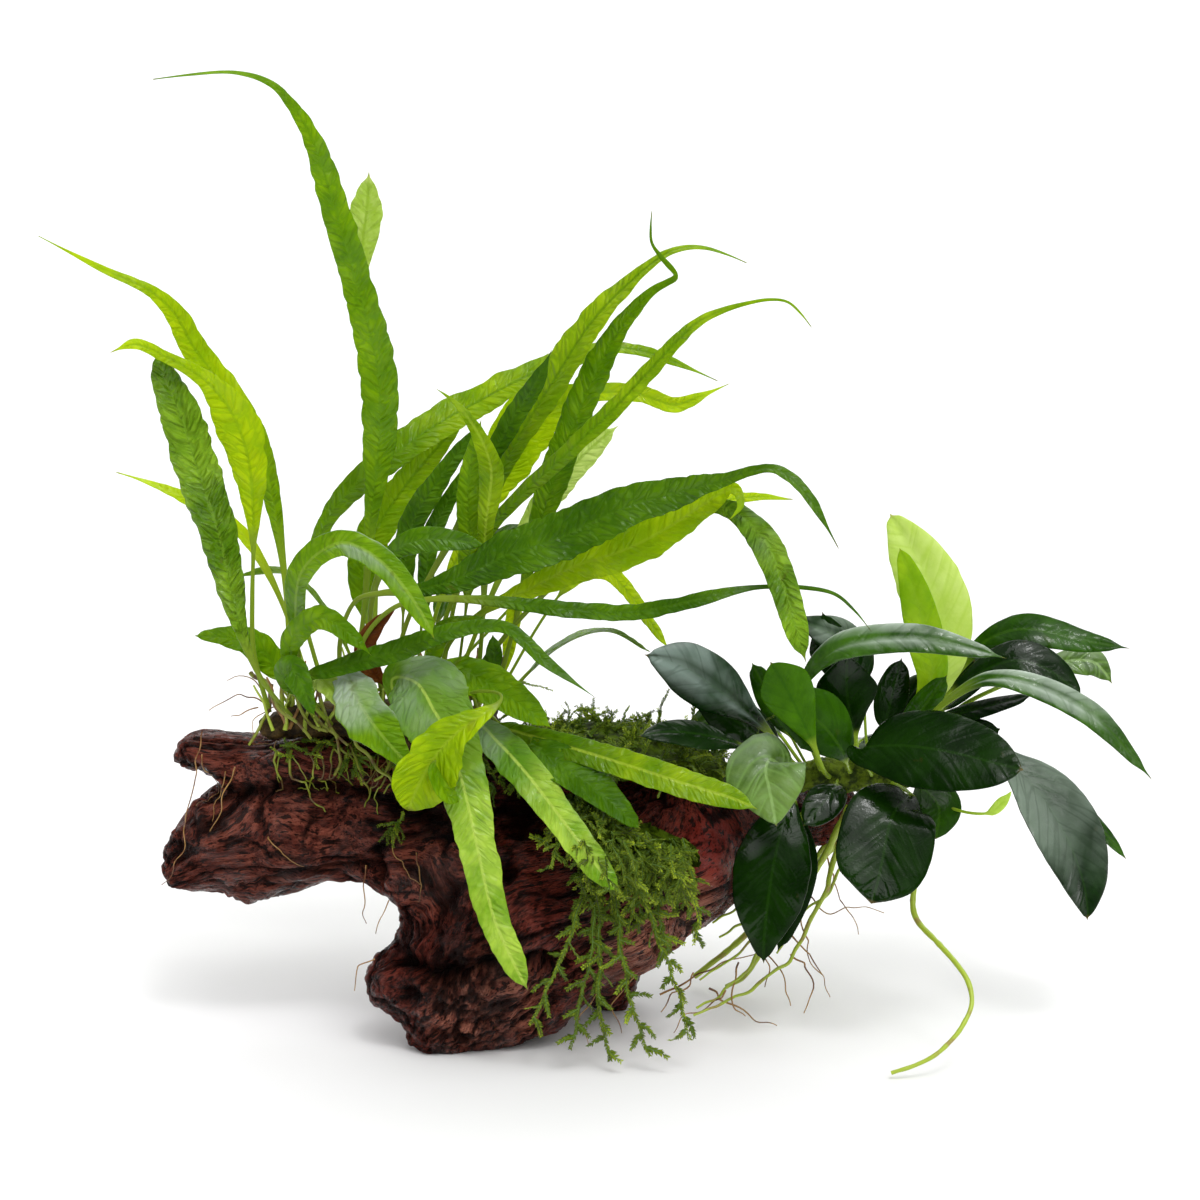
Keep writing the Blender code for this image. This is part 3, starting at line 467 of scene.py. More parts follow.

# %% [markdown]
# ## The wood's finish
#
# The wood is soaked, so it is dark, saturated and glossy. The furrows, hollows and short slots are painted
# nearly black as painted shade, the ridges between them brick red, and the flank and the front of the foot
# are painted lighter as painted light. Fine fibres are too small for the mesh, so they are a bump that
# follows the same grain.


# %% Wet red wood
def wood_material():
    material, tree, shader, _ = new_material("wet_red_wood")
    grain_place = attribute(tree, "grain").outputs["Vector"]
    painted_shade_and_knob = add(tree, "SeparateXYZ", {0: attribute(tree, "painted_shade_and_knob").outputs["Vector"]}).outputs
    here = add(tree, "TexCoord").outputs["Object"]

    def along_grain(length):
        return add(tree, "VectorMath", {0: grain_place, 1: (length, 1, 1)}, operation="MULTIPLY").outputs[0]

    streaks = stretch(tree, grains(tree, along_grain(0.10), 0.62, 5, 0.7, 0.3), 0.42, 0.58)
    fine = grains(tree, along_grain(0.12), 2.6, 5, 0.8, 0.2)
    clouds = stretch(tree, grains(tree, here, 22, 3, 0.55), 0.35, 0.68)
    # Short slots along the grain, sunk in the bump and painted near black as painted shade in them.
    shaded_slots = stretch(tree, grains(tree, along_grain(0.22), 1.15, 2, 0.5, 0.3), 0.575, 0.615)
    small_shaded_slots = stretch(tree, grains(tree, along_grain(0.20), 2.6, 2, 0.5, 0.3), 0.60, 0.64)
    # The pale places get lighter, warmer colours; on the flank and the front of the foot, which face down,
    # this is painted light.
    tones = add(tree, "SeparateXYZ", {0: attribute(tree, "tones").outputs["Vector"]}).outputs
    light = maths(tree, "ADD", maths(tree, "MULTIPLY", tones["X"], 0.85),
        maths(tree, "MULTIPLY", tones["Y"], 0.72))
    light = maths(tree, "ADD", light, maths(tree, "MULTIPLY", tones["Z"], 0.80))
    colour = blend(tree, streaks, (0.028, 0.0044, 0.0028), (0.205, 0.033, 0.021))
    fibre = maths(tree, "MULTIPLY", stretch(tree, fine, 0.47, 0.58), 0.70)
    colour = blend(tree, fibre, colour, (0.33, 0.072, 0.048))
    warm = blend(tree, streaks, (0.14, 0.032, 0.021), (0.46, 0.150, 0.095))
    colour = blend(tree, maths(tree, "MULTIPLY", light, stretch(tree, fine, 0.3, 0.7, 0.35, 1.0)), colour,
        warm)
    # Painted light on the flank and the front of the foot.
    flank = blend(tree, streaks, (0.38, 0.105, 0.065), (0.82, 0.330, 0.215))
    painted_light_flank_and_foot = maths(tree, "MULTIPLY_ADD", tones["Z"], 0.6, tones["X"])
    colour = blend(tree, maths(tree, "MULTIPLY", painted_light_flank_and_foot, stretch(tree, fine, 0.3, 0.6, 0.3, 1.0)), colour,
        flank)
    colour = blend(tree, maths(tree, "MULTIPLY", clouds, 0.35), colour, (0.036, 0.006, 0.004))
    red = blend(tree, clouds, (0.26, 0.022, 0.014), (0.62, 0.075, 0.050))
    colour = blend(tree, maths(tree, "MULTIPLY", painted_shade_and_knob["Z"], 0.75), colour, red)
    # Painted shade in the short slots.
    colour = blend(tree, maths(tree, "MULTIPLY", shaded_slots, 0.88), colour, (0.006, 0.0016, 0.0012))
    colour = blend(tree, maths(tree, "MULTIPLY", small_shaded_slots, 0.80), colour, (0.010, 0.0025, 0.0018))
    # Painted shade: cracks, dips, hollows and grooves near black.
    colour = blend(tree, stretch(tree, painted_shade_and_knob["X"], 0.15, 0.85, 0.9, 0.0), colour, (0.006, 0.002, 0.0017))
    colour = blend(tree, maths(tree, "MULTIPLY", painted_shade_and_knob["Y"], 0.88), colour, (0.004, 0.0015, 0.0012))
    height = maths(tree, "ADD", fine, maths(tree, "MULTIPLY", streaks, 0.4))
    height = maths(tree, "ADD", height, maths(tree, "MULTIPLY", shaded_slots, -1.0))
    pits = grains(tree, here, 700, 4, 0.75)
    height = maths(tree, "ADD", height, maths(tree, "MULTIPLY", pits, 0.55))
    bump = add(tree, "Bump", {"Height": height, "Strength": 1.0, "Distance": 0.0017}).outputs["Normal"]
    tree.links.new(colour, shader.inputs["Base Color"])
    tree.links.new(bump, shader.inputs["Normal"])
    tree.links.new(bump, shader.inputs["Coat Normal"])
    tree.links.new(stretch(tree, clouds, 0.0, 1.0, 0.28, 0.45), shader.inputs["Roughness"])
    shader.inputs["Specular IOR Level"].default_value = 0.06
    wet = stretch(tree, grains(tree, here, 90, 4, 0.7), 0.42, 0.58, 0.1, 1.0)
    tree.links.new(wet, shader.inputs["Coat Weight"])
    shader.inputs["Coat Roughness"].default_value = 0.08
    shader.inputs["Coat IOR"].default_value = 1.33
    return material


finished(wood_mesh, "driftwood", wood_material(), "wood", *WOOD_NODES)

# %% [markdown]
# ## How a leaf is made
#
# A frond and an anubias leaf are the same idea: a thin skin wrapped round a midrib. The solid blade of each
# leaf is a row of four-cornered rings that end in a tip, so the rings are read back from its mesh: walking
# outwards from the tip, each step finds the next four corners. Their middles give the midrib, the distance
# between the two side corners the width, and the other two corners which way is up.
#
# A flat grid is then rolled round that midrib. Its columns run round the leaf, over the top and back
# underneath, and its rows run from base to tip. Rolling a grid keeps the rows evenly spaced, which a
# subdivided solid would not.


# %% Read the rings of a solid blade
UPPER_SIDES_FACE = (0, -1, 1)


def steps_from(tip):
    """The vertices one step from the tip, two steps, and so on."""
    seen = {tip}
    level = [tip]
    levels = []
    while level:
        levels.append(level)
        following = {edge.other_vert(vert) for vert in level for edge in vert.link_edges} - seen
        seen |= following
        level = list(following)
    return levels


def neighbours_in(verts, ring):
    """The ring's verts in an order in which each one shares an edge with the vert it is listed beside."""
    def off(group):
        middle = sum((v.co for v in group), Vector()) / 4
        return [v.co - middle for v in group]

    linked = [[any(edge.other_vert(old) is new for edge in old.link_edges) for new in ring] for old in verts]
    old_arms, new_arms = off(verts), off(ring)
    corners = range(4)
    orders = [order for order in itertools.permutations(corners) if all(linked[i][order[i]] for i in corners)]

    def strain(order):
        return sum((old_arms[i] - new_arms[order[i]]).length_squared for i in corners)

    best = min(orders, key=strain)
    return [ring[i] for i in best]


def round_order(ring):
    """The four verts of the ring next to the tip, in the order in which its edges run round."""
    first = ring[0]
    beside = [v for v in ring[1:] if any(edge.other_vert(first) is v for edge in first.link_edges)]
    opposite = next(v for v in ring[1:] if v not in beside)
    return [first, beside[0], opposite, beside[1]]


def rings_in_order(levels):
    """The rings' points from base to tip, each as left, upper, right, lower.

    A blade is widest from side to side, and its upper side looks up and to the front.
    """
    run = [round_order(levels[0])]
    for ring in levels[1:]:
        run.append(neighbours_in(run[-1], ring))
    run = np.array([[v.co for v in ring] for ring in reversed(run)]) / MM
    spans = [np.linalg.norm(run[:, i] - run[:, i + 2], axis=1).sum() for i in (0, 1)]
    if spans[1] > spans[0]:
        run = run[:, [1, 2, 3, 0]]
    if (run[:, 1] - run[:, 3]).sum(axis=0) @ UPPER_SIDES_FACE < 0:
        run = run[:, [0, 3, 2, 1]]
    side = np.cross(run[1].mean(axis=0) - run[0].mean(axis=0), run[0, 1] - run[0, 3])
    if side @ (run[0, 2] - run[0, 0]) < 0:
        run = run[:, [2, 1, 0, 3]]
    return run


CREST = 0.35  # the share of a solid blade's thickness above its midrib


def spine_of(node):
    """Rows along a solid blade, in mm: place, way up, half width, sweep of the edges."""
    bm = bmesh.new()
    bm.from_mesh(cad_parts[node].data)
    bmesh.ops.remove_doubles(bm, verts=bm.verts, dist=1e-6)
    for vert in bm.verts:
        if len(vert.link_edges) != 4:
            continue
        levels = steps_from(vert)
        if all(len(level) == 4 for level in levels[1:]) and sum(map(len, levels)) == len(bm.verts):
            break
    rings = rings_in_order(levels[1:])
    tip = np.array(levels[0][0].co) / MM
    bm.free()
    rows = []
    for index, (left, upper, right, lower) in enumerate(rings):
        place = upper * (1 - CREST) + lower * CREST
        ahead = rings[index + 1].mean(axis=0) if index + 1 < len(rings) else tip
        along = ahead - place
        along = along / np.linalg.norm(along)
        up = (upper - lower) / np.linalg.norm(upper - lower)
        sweep = (place - (left + right) / 2) @ along
        rows.append([*place, *up, np.linalg.norm(right - left) / 2, sweep])
    rows.append([*tip, *rows[-1][3:6], 0.15, 0])
    return np.array(rows)


# %% Smooth and even rows
def smooth_run(rows, steps):
    """A smooth curve through the rows, with this many steps from each to the next."""
    padded = np.vstack([2 * rows[0] - rows[1], rows, 2 * rows[-1] - rows[-2]])
    before, start, end, after = padded[:-3], padded[1:-2], padded[2:-1], padded[3:]
    t = (np.arange(steps) / steps)[None, :, None]
    before, start, end, after = (part[:, None, :] for part in (before, start, end, after))
    run = 0.5 * (
        2 * start + (end - before) * t + (2 * before - 5 * start + 4 * end - after) * t ** 2
        + (3 * start - before - 3 * end + after) * t ** 3
    )
    return np.vstack([run.reshape(-1, rows.shape[1]), rows[-1:]])


def lengths_along(places):
    steps = np.linalg.norm(np.diff(places, axis=0), axis=1)
    return np.concatenate([[0], np.cumsum(steps)])


def even_run(rows, spacing):
    """The same curve with rows at even distances; gives the rows and each one's distance from the start."""
    fine = smooth_run(rows, 8)
    reached = lengths_along(fine[:, :3])
    count = max(12, int(reached[-1] / spacing))
    stops = np.linspace(0, reached[-1], count + 1)
    even = np.stack([np.interp(stops, reached, column) for column in fine.T], axis=1)
    return even, stops


def tangents_of(places):
    tangents = np.gradient(places, axis=0)
    return tangents / np.linalg.norm(tangents, axis=1)[:, None]


# %% A midrib through stations
def spine_through(stations, half, stalk, face, tip_face, roundness=0.8):
    """The same rows as spine_of, for a midrib given by stations in mm."""
    line = smooth_run(np.array(stations, float) + DESIGN_SHIFT, 6)
    share = lengths_along(line)
    share = share / share[-1]
    up = np.array(face, float) * (1 - share[:, None]) + np.array(tip_face, float) * share[:, None]
    up /= np.linalg.norm(up, axis=1)[:, None]
    blade = np.clip((share - stalk) / (1 - stalk), 0, 1)
    width = 0.7 + half * np.sin(math.pi * blade ** roundness) ** 0.75
    width[-1] = 0.15
    return np.column_stack([line, up, width, np.zeros(len(line))])


# %% [markdown]
# ## The skin of a blade
#
# The cross-section goes from a round stalk at the base to a thin blade. Three things make it a leaf rather
# than a ribbon: the margins wander a little in and out and up and down, the midrib stands out below and
# leaves a groove above, and the skin between the side veins is puffed up like a quilt.

# %% Roll a grid round a midrib
TOP_COLUMNS = 14
PETIOLE_ROUND = 0.62  # half the thickness of a round stalk, in mm


def rolled_grid(rows):
    """A flat grid in which x is the turn round the leaf and y the way along it, both from 0 to 1."""
    bm = bmesh.new()
    bmesh.ops.create_grid(bm, x_segments=2 * TOP_COLUMNS, y_segments=rows, size=0.5)
    bmesh.ops.translate(bm, verts=bm.verts, vec=(0.5, 0.5, 0))
    mesh = bpy.data.meshes.new("rolled")
    bm.to_mesh(mesh)
    bm.free()
    return mesh


def close_seams(mesh):
    """Joins the grid's two sides into one tube and fills the cut at the base."""
    bm = bmesh.new()
    bm.from_mesh(mesh)
    bmesh.ops.remove_doubles(bm, verts=bm.verts, dist=2e-6)
    rims = [edge for edge in bm.edges if edge.is_boundary]
    bmesh.ops.holes_fill(bm, edges=rims)
    bmesh.ops.recalc_face_normals(bm, faces=bm.faces)
    bm.to_mesh(mesh)
    bm.free()


def blade_mesh(spine, look, seed):
    """A leaf's closed skin, in metres, with the attributes that its material reads."""
    rows, reached = even_run(spine, look["spacing"])
    length = reached[-1]
    share = reached / length
    place = rows[:, :3]
    along = tangents_of(place)
    up = rows[:, 3:6] - along * (rows[:, 3:6] * along).sum(axis=1)[:, None]
    up /= np.linalg.norm(up, axis=1)[:, None]
    side = np.cross(along, up)
    half = np.maximum(rows[:, 6] * look["wide"], 0.12)
    bladed = smoothstep(1.0, 2.2, half)
    half = half - 0.25 * (1 - bladed)
    half *= 1 - 0.55 * smoothstep(0.86, 1.0, share) * (1 - bladed)
    line = np.stack([reached, np.zeros_like(reached), np.full_like(reached, seed * 7.3)], axis=1)
    margins = []
    for edge in (-1, 1):
        shifted = line + (0, edge * 31, 0)
        wander = 0.055 * noise_at(shifted, 8) + 0.045 * noise_at(shifted, 3)
        lift = noise_at(shifted, look["wave"], 5.1) + 0.35 * noise_at(shifted, 3.2, 9.7)
        rim_place = np.stack([edge * half, reached, np.full_like(reached, seed)], axis=1)
        bulge = (reached - look["slant"] * half) / look["quilt_size"] + 0.5 * (edge > 0)
        bulge += 0.45 * noise_at(rim_place, 6)
        bulge = (np.abs(np.sin(math.pi * bulge)) ** 0.7 - 0.65) * (0.9 + 0.8 * noise_at(shifted, 14, 2.3))
        margins.append((1 + (wander * look["ragged"] + look["scallop"] * bulge) * bladed, lift))

    mesh = rolled_grid(len(rows) - 1)
    flat = points_of(mesh)
    row = np.rint(flat[:, 1] * (len(rows) - 1)).astype(int)
    turn = flat[:, 0] * 2
    top = turn <= 1
    across = -np.cos(math.pi * np.where(top, turn, 2 - turn))
    is_right = across > 0
    width = half[row] * np.where(is_right, margins[1][0][row], margins[0][0][row])
    lift = np.where(is_right, margins[1][1][row], margins[0][1][row])
    reach = across * width
    blade = bladed[row]
    away = np.abs(across)

    fold = look["fold"] * width * away ** 1.4 - look["arch"] * width * away ** 3
    ruffle = look["ruffle"] * width ** 0.7 * away ** 2.4 * lift * smoothstep(0, 1, 6 * (1 - share[row]) + 0.2)
    chevron = (reached[row] - look["slant"] * np.abs(reach)) / look["quilt_size"]
    chevron += 0.5 * is_right + 0.45 * noise_at(np.stack([reach, reached[row], row * 0 + seed], axis=1), 6)
    cells = np.abs(np.sin(math.pi * chevron)) ** 0.7
    second = np.abs(np.sin(math.pi * (away * 1.5 + 0.4 * noise_at(
        np.stack([reach * 2, reached[row], row * 0 - seed], axis=1), 5)))) ** 0.6
    quilt = look["quilt"] * cells * (0.45 + 0.55 * second) * np.clip(away * 4, 0,
        1) * np.clip((1 - away) * 5, 0, 1)
    groove = look["groove"] * np.exp(-(reach / 0.55) ** 2)
    body = (fold + ruffle + quilt - groove) * blade

    rim = np.sqrt(np.maximum(1 - across ** 2, 0))
    stalk = PETIOLE_ROUND * (1 - 0.65 * share[row]) * rim
    sheet = look["thick"] / 2 * rim ** 0.5
    rib = look["rib"] * np.exp(-(reach / 0.8) ** 2) * (1 - 0.6 * share[row])
    upper = blade * sheet + (1 - blade) * stalk
    lower = blade * (sheet + rib) + (1 - blade) * stalk
    height = body + np.where(top, upper, -lower)

    back = rows[:, 7][row] * away
    points = place[row] + side[row] * reach[:, None] + up[row] * height[:, None] - along[row] * back[:, None]
    tip = row == len(rows) - 1
    points[tip] = place[-1]
    set_points(mesh, points * MM)
    set_attribute(mesh, "blade", np.stack([reach, reached[row], share[row]], axis=1))
    outward = normals_of(mesh)
    outward *= np.sign((outward * up[row]).sum(axis=1) * np.where(top, 1, -1))[:, None]
    # The third value is how far the outer face looks up; the leaf finishes paint a pale sheen there, as
    # painted sheen.
    set_attribute(mesh, "skin", np.stack([np.where(top, 0.0, 1.0), blade, outward[:, 2]], axis=1))
    close_seams(mesh)
    return mesh


# %% [markdown]
# ## Leaf finishes
#
# A leaf is a thin translucent sheet with a waxy skin. The colour comes from a mix of two greens in soft
# clouds, the net of veins is drawn from a cell pattern that leans forward from the midrib, and the stalk,
# the underside and the tip each have their own tint. Some finishes paint shade on the lower blade, deep in
# the clump, and a pale sheen on the faces that look up: painted shade and painted sheen. Light that comes
# through the sheet is a second shader, mixed in by a fixed share. Water lies on the leaf as a thin film,
# which is the clear coat.


# %% The vein net, used by every leaf material
def vein_group():
    """Cells that lean forward from the midrib: Veins is 1 on a vein, Puff rises between them."""
    tree, given, out = new_group(
        "vein_net",
        [("Across", "NodeSocketFloat", 0.0), ("Along", "NodeSocketFloat", 0.0),
            ("Size", "NodeSocketFloat", 3.0),
         ("Slant", "NodeSocketFloat", 0.8), ("Stretch", "NodeSocketFloat", 1.0)],
        [("Veins", "NodeSocketFloat"), ("Puff", "NodeSocketFloat"), ("Midrib", "NodeSocketFloat")],
    )
    away = maths(tree, "ABSOLUTE", given["Across"])
    forward = maths(tree, "SUBTRACT", given["Along"], maths(tree, "MULTIPLY", away, given["Slant"]))
    half = maths(tree, "MULTIPLY", maths(tree, "SIGN", given["Across"]), 9.0)
    drawn_out = maths(tree, "DIVIDE", given["Across"], given["Stretch"])
    place = add(tree, "CombineXYZ", {"X": drawn_out, "Y": forward, "Z": half}).outputs[0]
    scaled = add(tree, "VectorMath", {0: place, "Scale": 1.0}, operation="SCALE")
    tree.links.new(maths(tree, "DIVIDE", 1.0, given["Size"]), scaled.inputs["Scale"])
    wavy = add(tree, "TexNoise", {"Vector": scaled.outputs[0], "Scale": 1.3, "Detail": 1.0}).outputs["Color"]
    nudge = add(tree, "VectorMath", {0: wavy, 1: (0.5, 0.5, 0.5)}, operation="SUBTRACT").outputs[0]
    nudge = add(tree, "VectorMath", {0: nudge, "Scale": 0.5}, operation="SCALE").outputs[0]
    warped = add(tree, "VectorMath", {0: scaled.outputs[0], 1: nudge}, operation="ADD").outputs[0]
    cells = add(tree, "TexVoronoi", {"Vector": warped, "Scale": 1.0},
        feature="DISTANCE_TO_EDGE").outputs["Distance"]
    tree.links.new(stretch(tree, cells, 0.0, 0.12, 1.0, 0.0), out.inputs["Veins"])
    tree.links.new(stretch(tree, cells, 0.0, 0.32), out.inputs["Puff"])
    tree.links.new(stretch(tree, away, 0.25, 0.6, 1.0, 0.0), out.inputs["Midrib"])
    return tree


VEINS = vein_group()


# %% One recipe for all leaf materials
def leaf_material(name, deep, light, look):
    """deep and light are the two greens of the blade; look holds the rest."""
    material, tree, shader, output = new_material(name)
    blade = add(tree, "SeparateXYZ", {0: attribute(tree, "blade").outputs["Vector"]}).outputs
    skin = add(tree, "SeparateXYZ", {0: attribute(tree, "skin").outputs["Vector"]}).outputs
    here = add(tree, "TexCoord").outputs["Object"]
    net = use_group(tree, VEINS, Across=blade["X"], Along=blade["Y"], Size=look.get("cell", 3.0),
                    Slant=look.get("slant", 0.8), Stretch=look.get("stretch", 1.0))
    veined = maths(tree, "MULTIPLY", net["Veins"], skin["Y"])
    midrib = maths(tree, "MULTIPLY", net["Midrib"], skin["Y"])

    clouds = stretch(tree, grains(tree, here, 70, 3, 0.6), 0.35, 0.68)
    colour = blend(tree, clouds, deep, light)
    fine = stretch(tree, grains(tree, here, 900, 2, 0.6), 0.3, 0.7)
    colour = blend(tree, maths(tree, "MULTIPLY", fine, 0.25), colour, light)
    # Painted shade: the lower part of the blade, deep in the clump, is darkened towards a shade colour.
    painted_base_shade = maths(tree, "MULTIPLY", stretch(tree, blade["Z"], 0.36, 0.62, 1.0, 0.0),
        look.get("painted_base_shade_tint", 0.0))
    colour = blend(tree, painted_base_shade, colour, look.get("painted_base_shade", deep))
    colour = blend(tree, maths(tree, "MULTIPLY", veined, look.get("vein_tint", 0.45)), colour,
                   look.get("vein", deep))
    colour = blend(tree, maths(tree, "MULTIPLY", midrib, look.get("rib_tint", 0.6)), colour,
                   look.get("rib", light))
    colour = blend(tree, maths(tree, "MULTIPLY", skin["X"], look.get("under_tint", 0.5)), colour,
                   look.get("under", light))
    stalk = maths(tree, "SUBTRACT", 1.0, skin["Y"])
    low = stretch(tree, blade["Z"], 0.5, 0.8, 1.0, 0.0)
    colour = blend(tree, maths(tree, "MULTIPLY", stalk, low), colour, look.get("stalk", light))
    film = grains(tree, here, look.get("film_scale", 260), 3, 0.6, 1.2)
    # Painted sheen: a pale grey-green in patches on faces that look up stands in for the reflection of the
    # bright sky.
    facing_up_for_sheen = stretch(tree, skin["Z"], *look.get("painted_sheen_from", (0.30, 0.80)))
    patches = grains(tree, here, look.get("painted_sheen_scale", 45), 3, 0.5, 0.5)
    painted_sheen = maths(tree, "MULTIPLY", facing_up_for_sheen, stretch(tree, patches, 0.40, 0.58, 0.1, 1.0))
    painted_sheen = maths(tree, "MULTIPLY", painted_sheen, stretch(tree, net["Veins"], 0.0, 1.0, 1.0, 0.75))
    painted_sheen = maths(tree, "MULTIPLY", painted_sheen, maths(tree, "MULTIPLY", skin["Y"], look.get("painted_sheen", 0.0)))
    colour = blend(tree, painted_sheen, colour, look.get("painted_sheen_tint", (0.50, 0.58, 0.50)))
    specks = stretch(tree, grains(tree, here, 160, 2, 0.5, 0.4), 0.70, 0.76)
    colour = blend(tree, maths(tree, "MULTIPLY", specks, look.get("wear", 0.35)), colour, (0.10, 0.06, 0.012))
    tip = stretch(tree, blade["Z"], 0.975, 1.0)
    colour = blend(tree, maths(tree, "MULTIPLY", tip, 0.6), colour, (0.22, 0.13, 0.03))

    puff = maths(tree, "MULTIPLY", net["Puff"], skin["Y"])
    height = maths(tree, "ADD", maths(tree, "MULTIPLY", puff, look.get("relief", 0.8)),
                   maths(tree, "MULTIPLY", grains(tree, here, 1400, 2, 0.6), look.get("tooth", 0.12)))
    height = maths(tree, "ADD", height, maths(tree, "MULTIPLY", film, look.get("film", 0.3)))
    bump = add(tree, "Bump", {"Height": height, "Strength": look.get("bump", 0.6), "Distance": 0.0007})

    tree.links.new(colour, shader.inputs["Base Color"])
    tree.links.new(stretch(tree, film, 0.3, 0.7, *look.get("rough", (0.28, 0.5))), shader.inputs["Roughness"])
    tree.links.new(bump.outputs["Normal"], shader.inputs["Normal"])
    shader.inputs["Specular IOR Level"].default_value = look.get("specular", 0.08)
    wet = stretch(tree, grains(tree, here, 45, 2, 0.5), 0.42, 0.62, 0.05, look.get("wet", 0.5))
    tree.links.new(wet, shader.inputs["Coat Weight"])
    tree.links.new(bump.outputs["Normal"], shader.inputs["Coat Normal"])
    shader.inputs["Coat Roughness"].default_value = look.get("coat_roughness", 0.12)
    shader.inputs["Coat IOR"].default_value = 1.33

    through = add(tree, "BsdfTranslucent", {"Color": blend(tree, 0.75, colour, look.get("glow", light)),
                                            "Normal": bump.outputs["Normal"]})
    mixed = add(tree, "MixShader", {0: look.get("thin", 0.35), 1: shader.outputs[0], 2: through.outputs[0]})
    tree.links.new(mixed.outputs[0], output.inputs["Surface"])
    return material


# %% The fern's greens
STALK_GREEN = (0.24, 0.33, 0.03)
FERN = dict(cell=3.2, slant=0.9, stretch=1.5, stalk=STALK_GREEN, vein_tint=0.5, relief=0.9, wet=0.6, bump=0.7)
# The leafy, sheen and bright finishes paint a pale sheen on faces that look up, as painted sheen. The fresh,
# ribbed, lime_shaded and bright finishes paint shade on the lower blade.
fern_finish = {
    "dark": leaf_material("fern_dark", (0.045, 0.140, 0.0008), (0.110, 0.260, 0.002), {
        **FERN, "rib": (0.10, 0.24, 0.01), "glow": (0.17, 0.38, 0.002), "thin": 0.24, "wet": 0.9}),
    "leafy": leaf_material("fern_leafy", (0.075, 0.190, 0.001), (0.260, 0.460, 0.020), {
        **FERN, "rib": (0.20, 0.38, 0.02), "glow": (0.30, 0.55, 0.004), "thin": 0.22, "wet": 1.0,
        "painted_sheen": 0.25,
        "relief": 1.6, "vein_tint": 0.4, "bump": 0.9}),
    "deep": leaf_material("fern_deep", (0.034, 0.108, 0.0006), (0.095, 0.225, 0.001), {
        **FERN, "rib": (0.07, 0.18, 0.004), "glow": (0.15, 0.33, 0.002), "thin": 0.20}),
    "mid": leaf_material("fern_mid", (0.085, 0.215, 0.0008), (0.240, 0.430, 0.002), {
        **FERN, "rib": (0.14, 0.30, 0.004), "glow": (0.34, 0.58, 0.002), "thin": 0.34}),
    "sheen": leaf_material("fern_painted_sheen", (0.095, 0.230, 0.0010), (0.230, 0.430, 0.006), {
        **FERN, "rib": (0.34, 0.52, 0.06), "glow": (0.34, 0.58, 0.004), "thin": 0.28, "wet": 1.0,
        "painted_sheen": 0.80,
        "painted_sheen_from": (0.35, 0.85), "painted_sheen_scale": 22}),
    "fresh": leaf_material("fern_fresh", (0.150, 0.305, 0.0010), (0.400, 0.570, 0.008), {
        **FERN, "rib": (0.11, 0.25, 0.003), "glow": (0.56, 0.78, 0.003), "thin": 0.38, "wet": 0.8,
        "rib_tint": 0.7,
        "painted_base_shade": (0.055, 0.150, 0.001), "painted_base_shade_tint": 0.8}),
    "ribbed": leaf_material("fern_ribbed", (0.130, 0.280, 0.0010), (0.400, 0.570, 0.008), {
        **FERN, "rib": (0.50, 0.66, 0.05), "glow": (0.56, 0.78, 0.003), "thin": 0.38, "wet": 0.9,
        "rib_tint": 0.7,
        "vein_tint": 0.35, "painted_base_shade": (0.055, 0.150, 0.001), "painted_base_shade_tint": 0.8}),
    "lime_shaded": leaf_material("fern_lime_shaded", (0.300, 0.460, 0.0010), (0.540, 0.680, 0.004), {
        **FERN, "rib": (0.20, 0.36, 0.004), "vein": (0.23, 0.41, 0.001), "glow": (0.64, 0.84, 0.002),
        "thin": 0.40, "painted_base_shade": (0.075, 0.190, 0.001), "painted_base_shade_tint": 0.9}),
    "spring": leaf_material("fern_spring", (0.230, 0.400, 0.0010), (0.480, 0.660, 0.004), {
        **FERN, "rib": (0.44, 0.60, 0.03), "glow": (0.62, 0.82, 0.003), "thin": 0.38}),
    "lime": leaf_material("fern_lime", (0.320, 0.480, 0.0010), (0.560, 0.700, 0.004), {
        **FERN, "rib": (0.25, 0.42, 0.004), "vein": (0.23, 0.41, 0.001), "glow": (0.66, 0.86, 0.002),
        "thin": 0.42, "vein_tint": 0.5}),
    "bright": leaf_material("fern_bright", (0.150, 0.350, 0.004), (0.540, 0.760, 0.080), {
        **FERN, "rib": (0.60, 0.78, 0.12), "glow": (0.55, 0.82, 0.03), "thin": 0.30, "wet": 1.0,
        "painted_sheen": 0.40,
        "painted_sheen_scale": 30, "painted_base_shade": (0.07, 0.20, 0.002), "painted_base_shade_tint": 0.8, "rib_tint": 0.7,
        "vein_tint": 0.25}),
    "yellow": leaf_material("fern_yellow", (0.440, 0.620, 0.003), (0.640, 0.760, 0.012), {
        **FERN, "rib": (0.52, 0.66, 0.03), "vein": (0.30, 0.50, 0.004), "glow": (0.80, 0.95, 0.01),
        "thin": 0.42, "vein_tint": 0.45}),
    "brown": leaf_material("fern_brown", (0.12, 0.032, 0.006), (0.30, 0.11, 0.025), {
        **FERN, "rib": (0.10, 0.03, 0.008), "glow": (0.50, 0.16, 0.02), "stalk": (0.12, 0.05, 0.012),
        "thin": 0.3}),
    "pale": leaf_material("fern_pale", (0.300, 0.470, 0.030), (0.740, 0.850, 0.300), {
        **FERN, "rib": (0.28, 0.44, 0.03), "glow": (0.70, 0.90, 0.12), "thin": 0.38}),
}
print("fern finishes:", ", ".join(fern_finish))

# %% [markdown]
# ## The fronds
#
# Each line below says what one frond is like: its finish and how rough its surface is. The rest is the same
# for all of them: a slight fold along the midrib, wavy margins, a quilted skin.

# %% Shape of a frond
FROND = dict(spacing=1.0, fold=0.12, arch=0.05, ruffle=0.26, wave=9, ragged=1.8, quilt=0.24, quilt_size=4.8,
             slant=0.9, groove=0.18, thick=0.34, rib=0.45, scallop=0.08, wide=1.0)

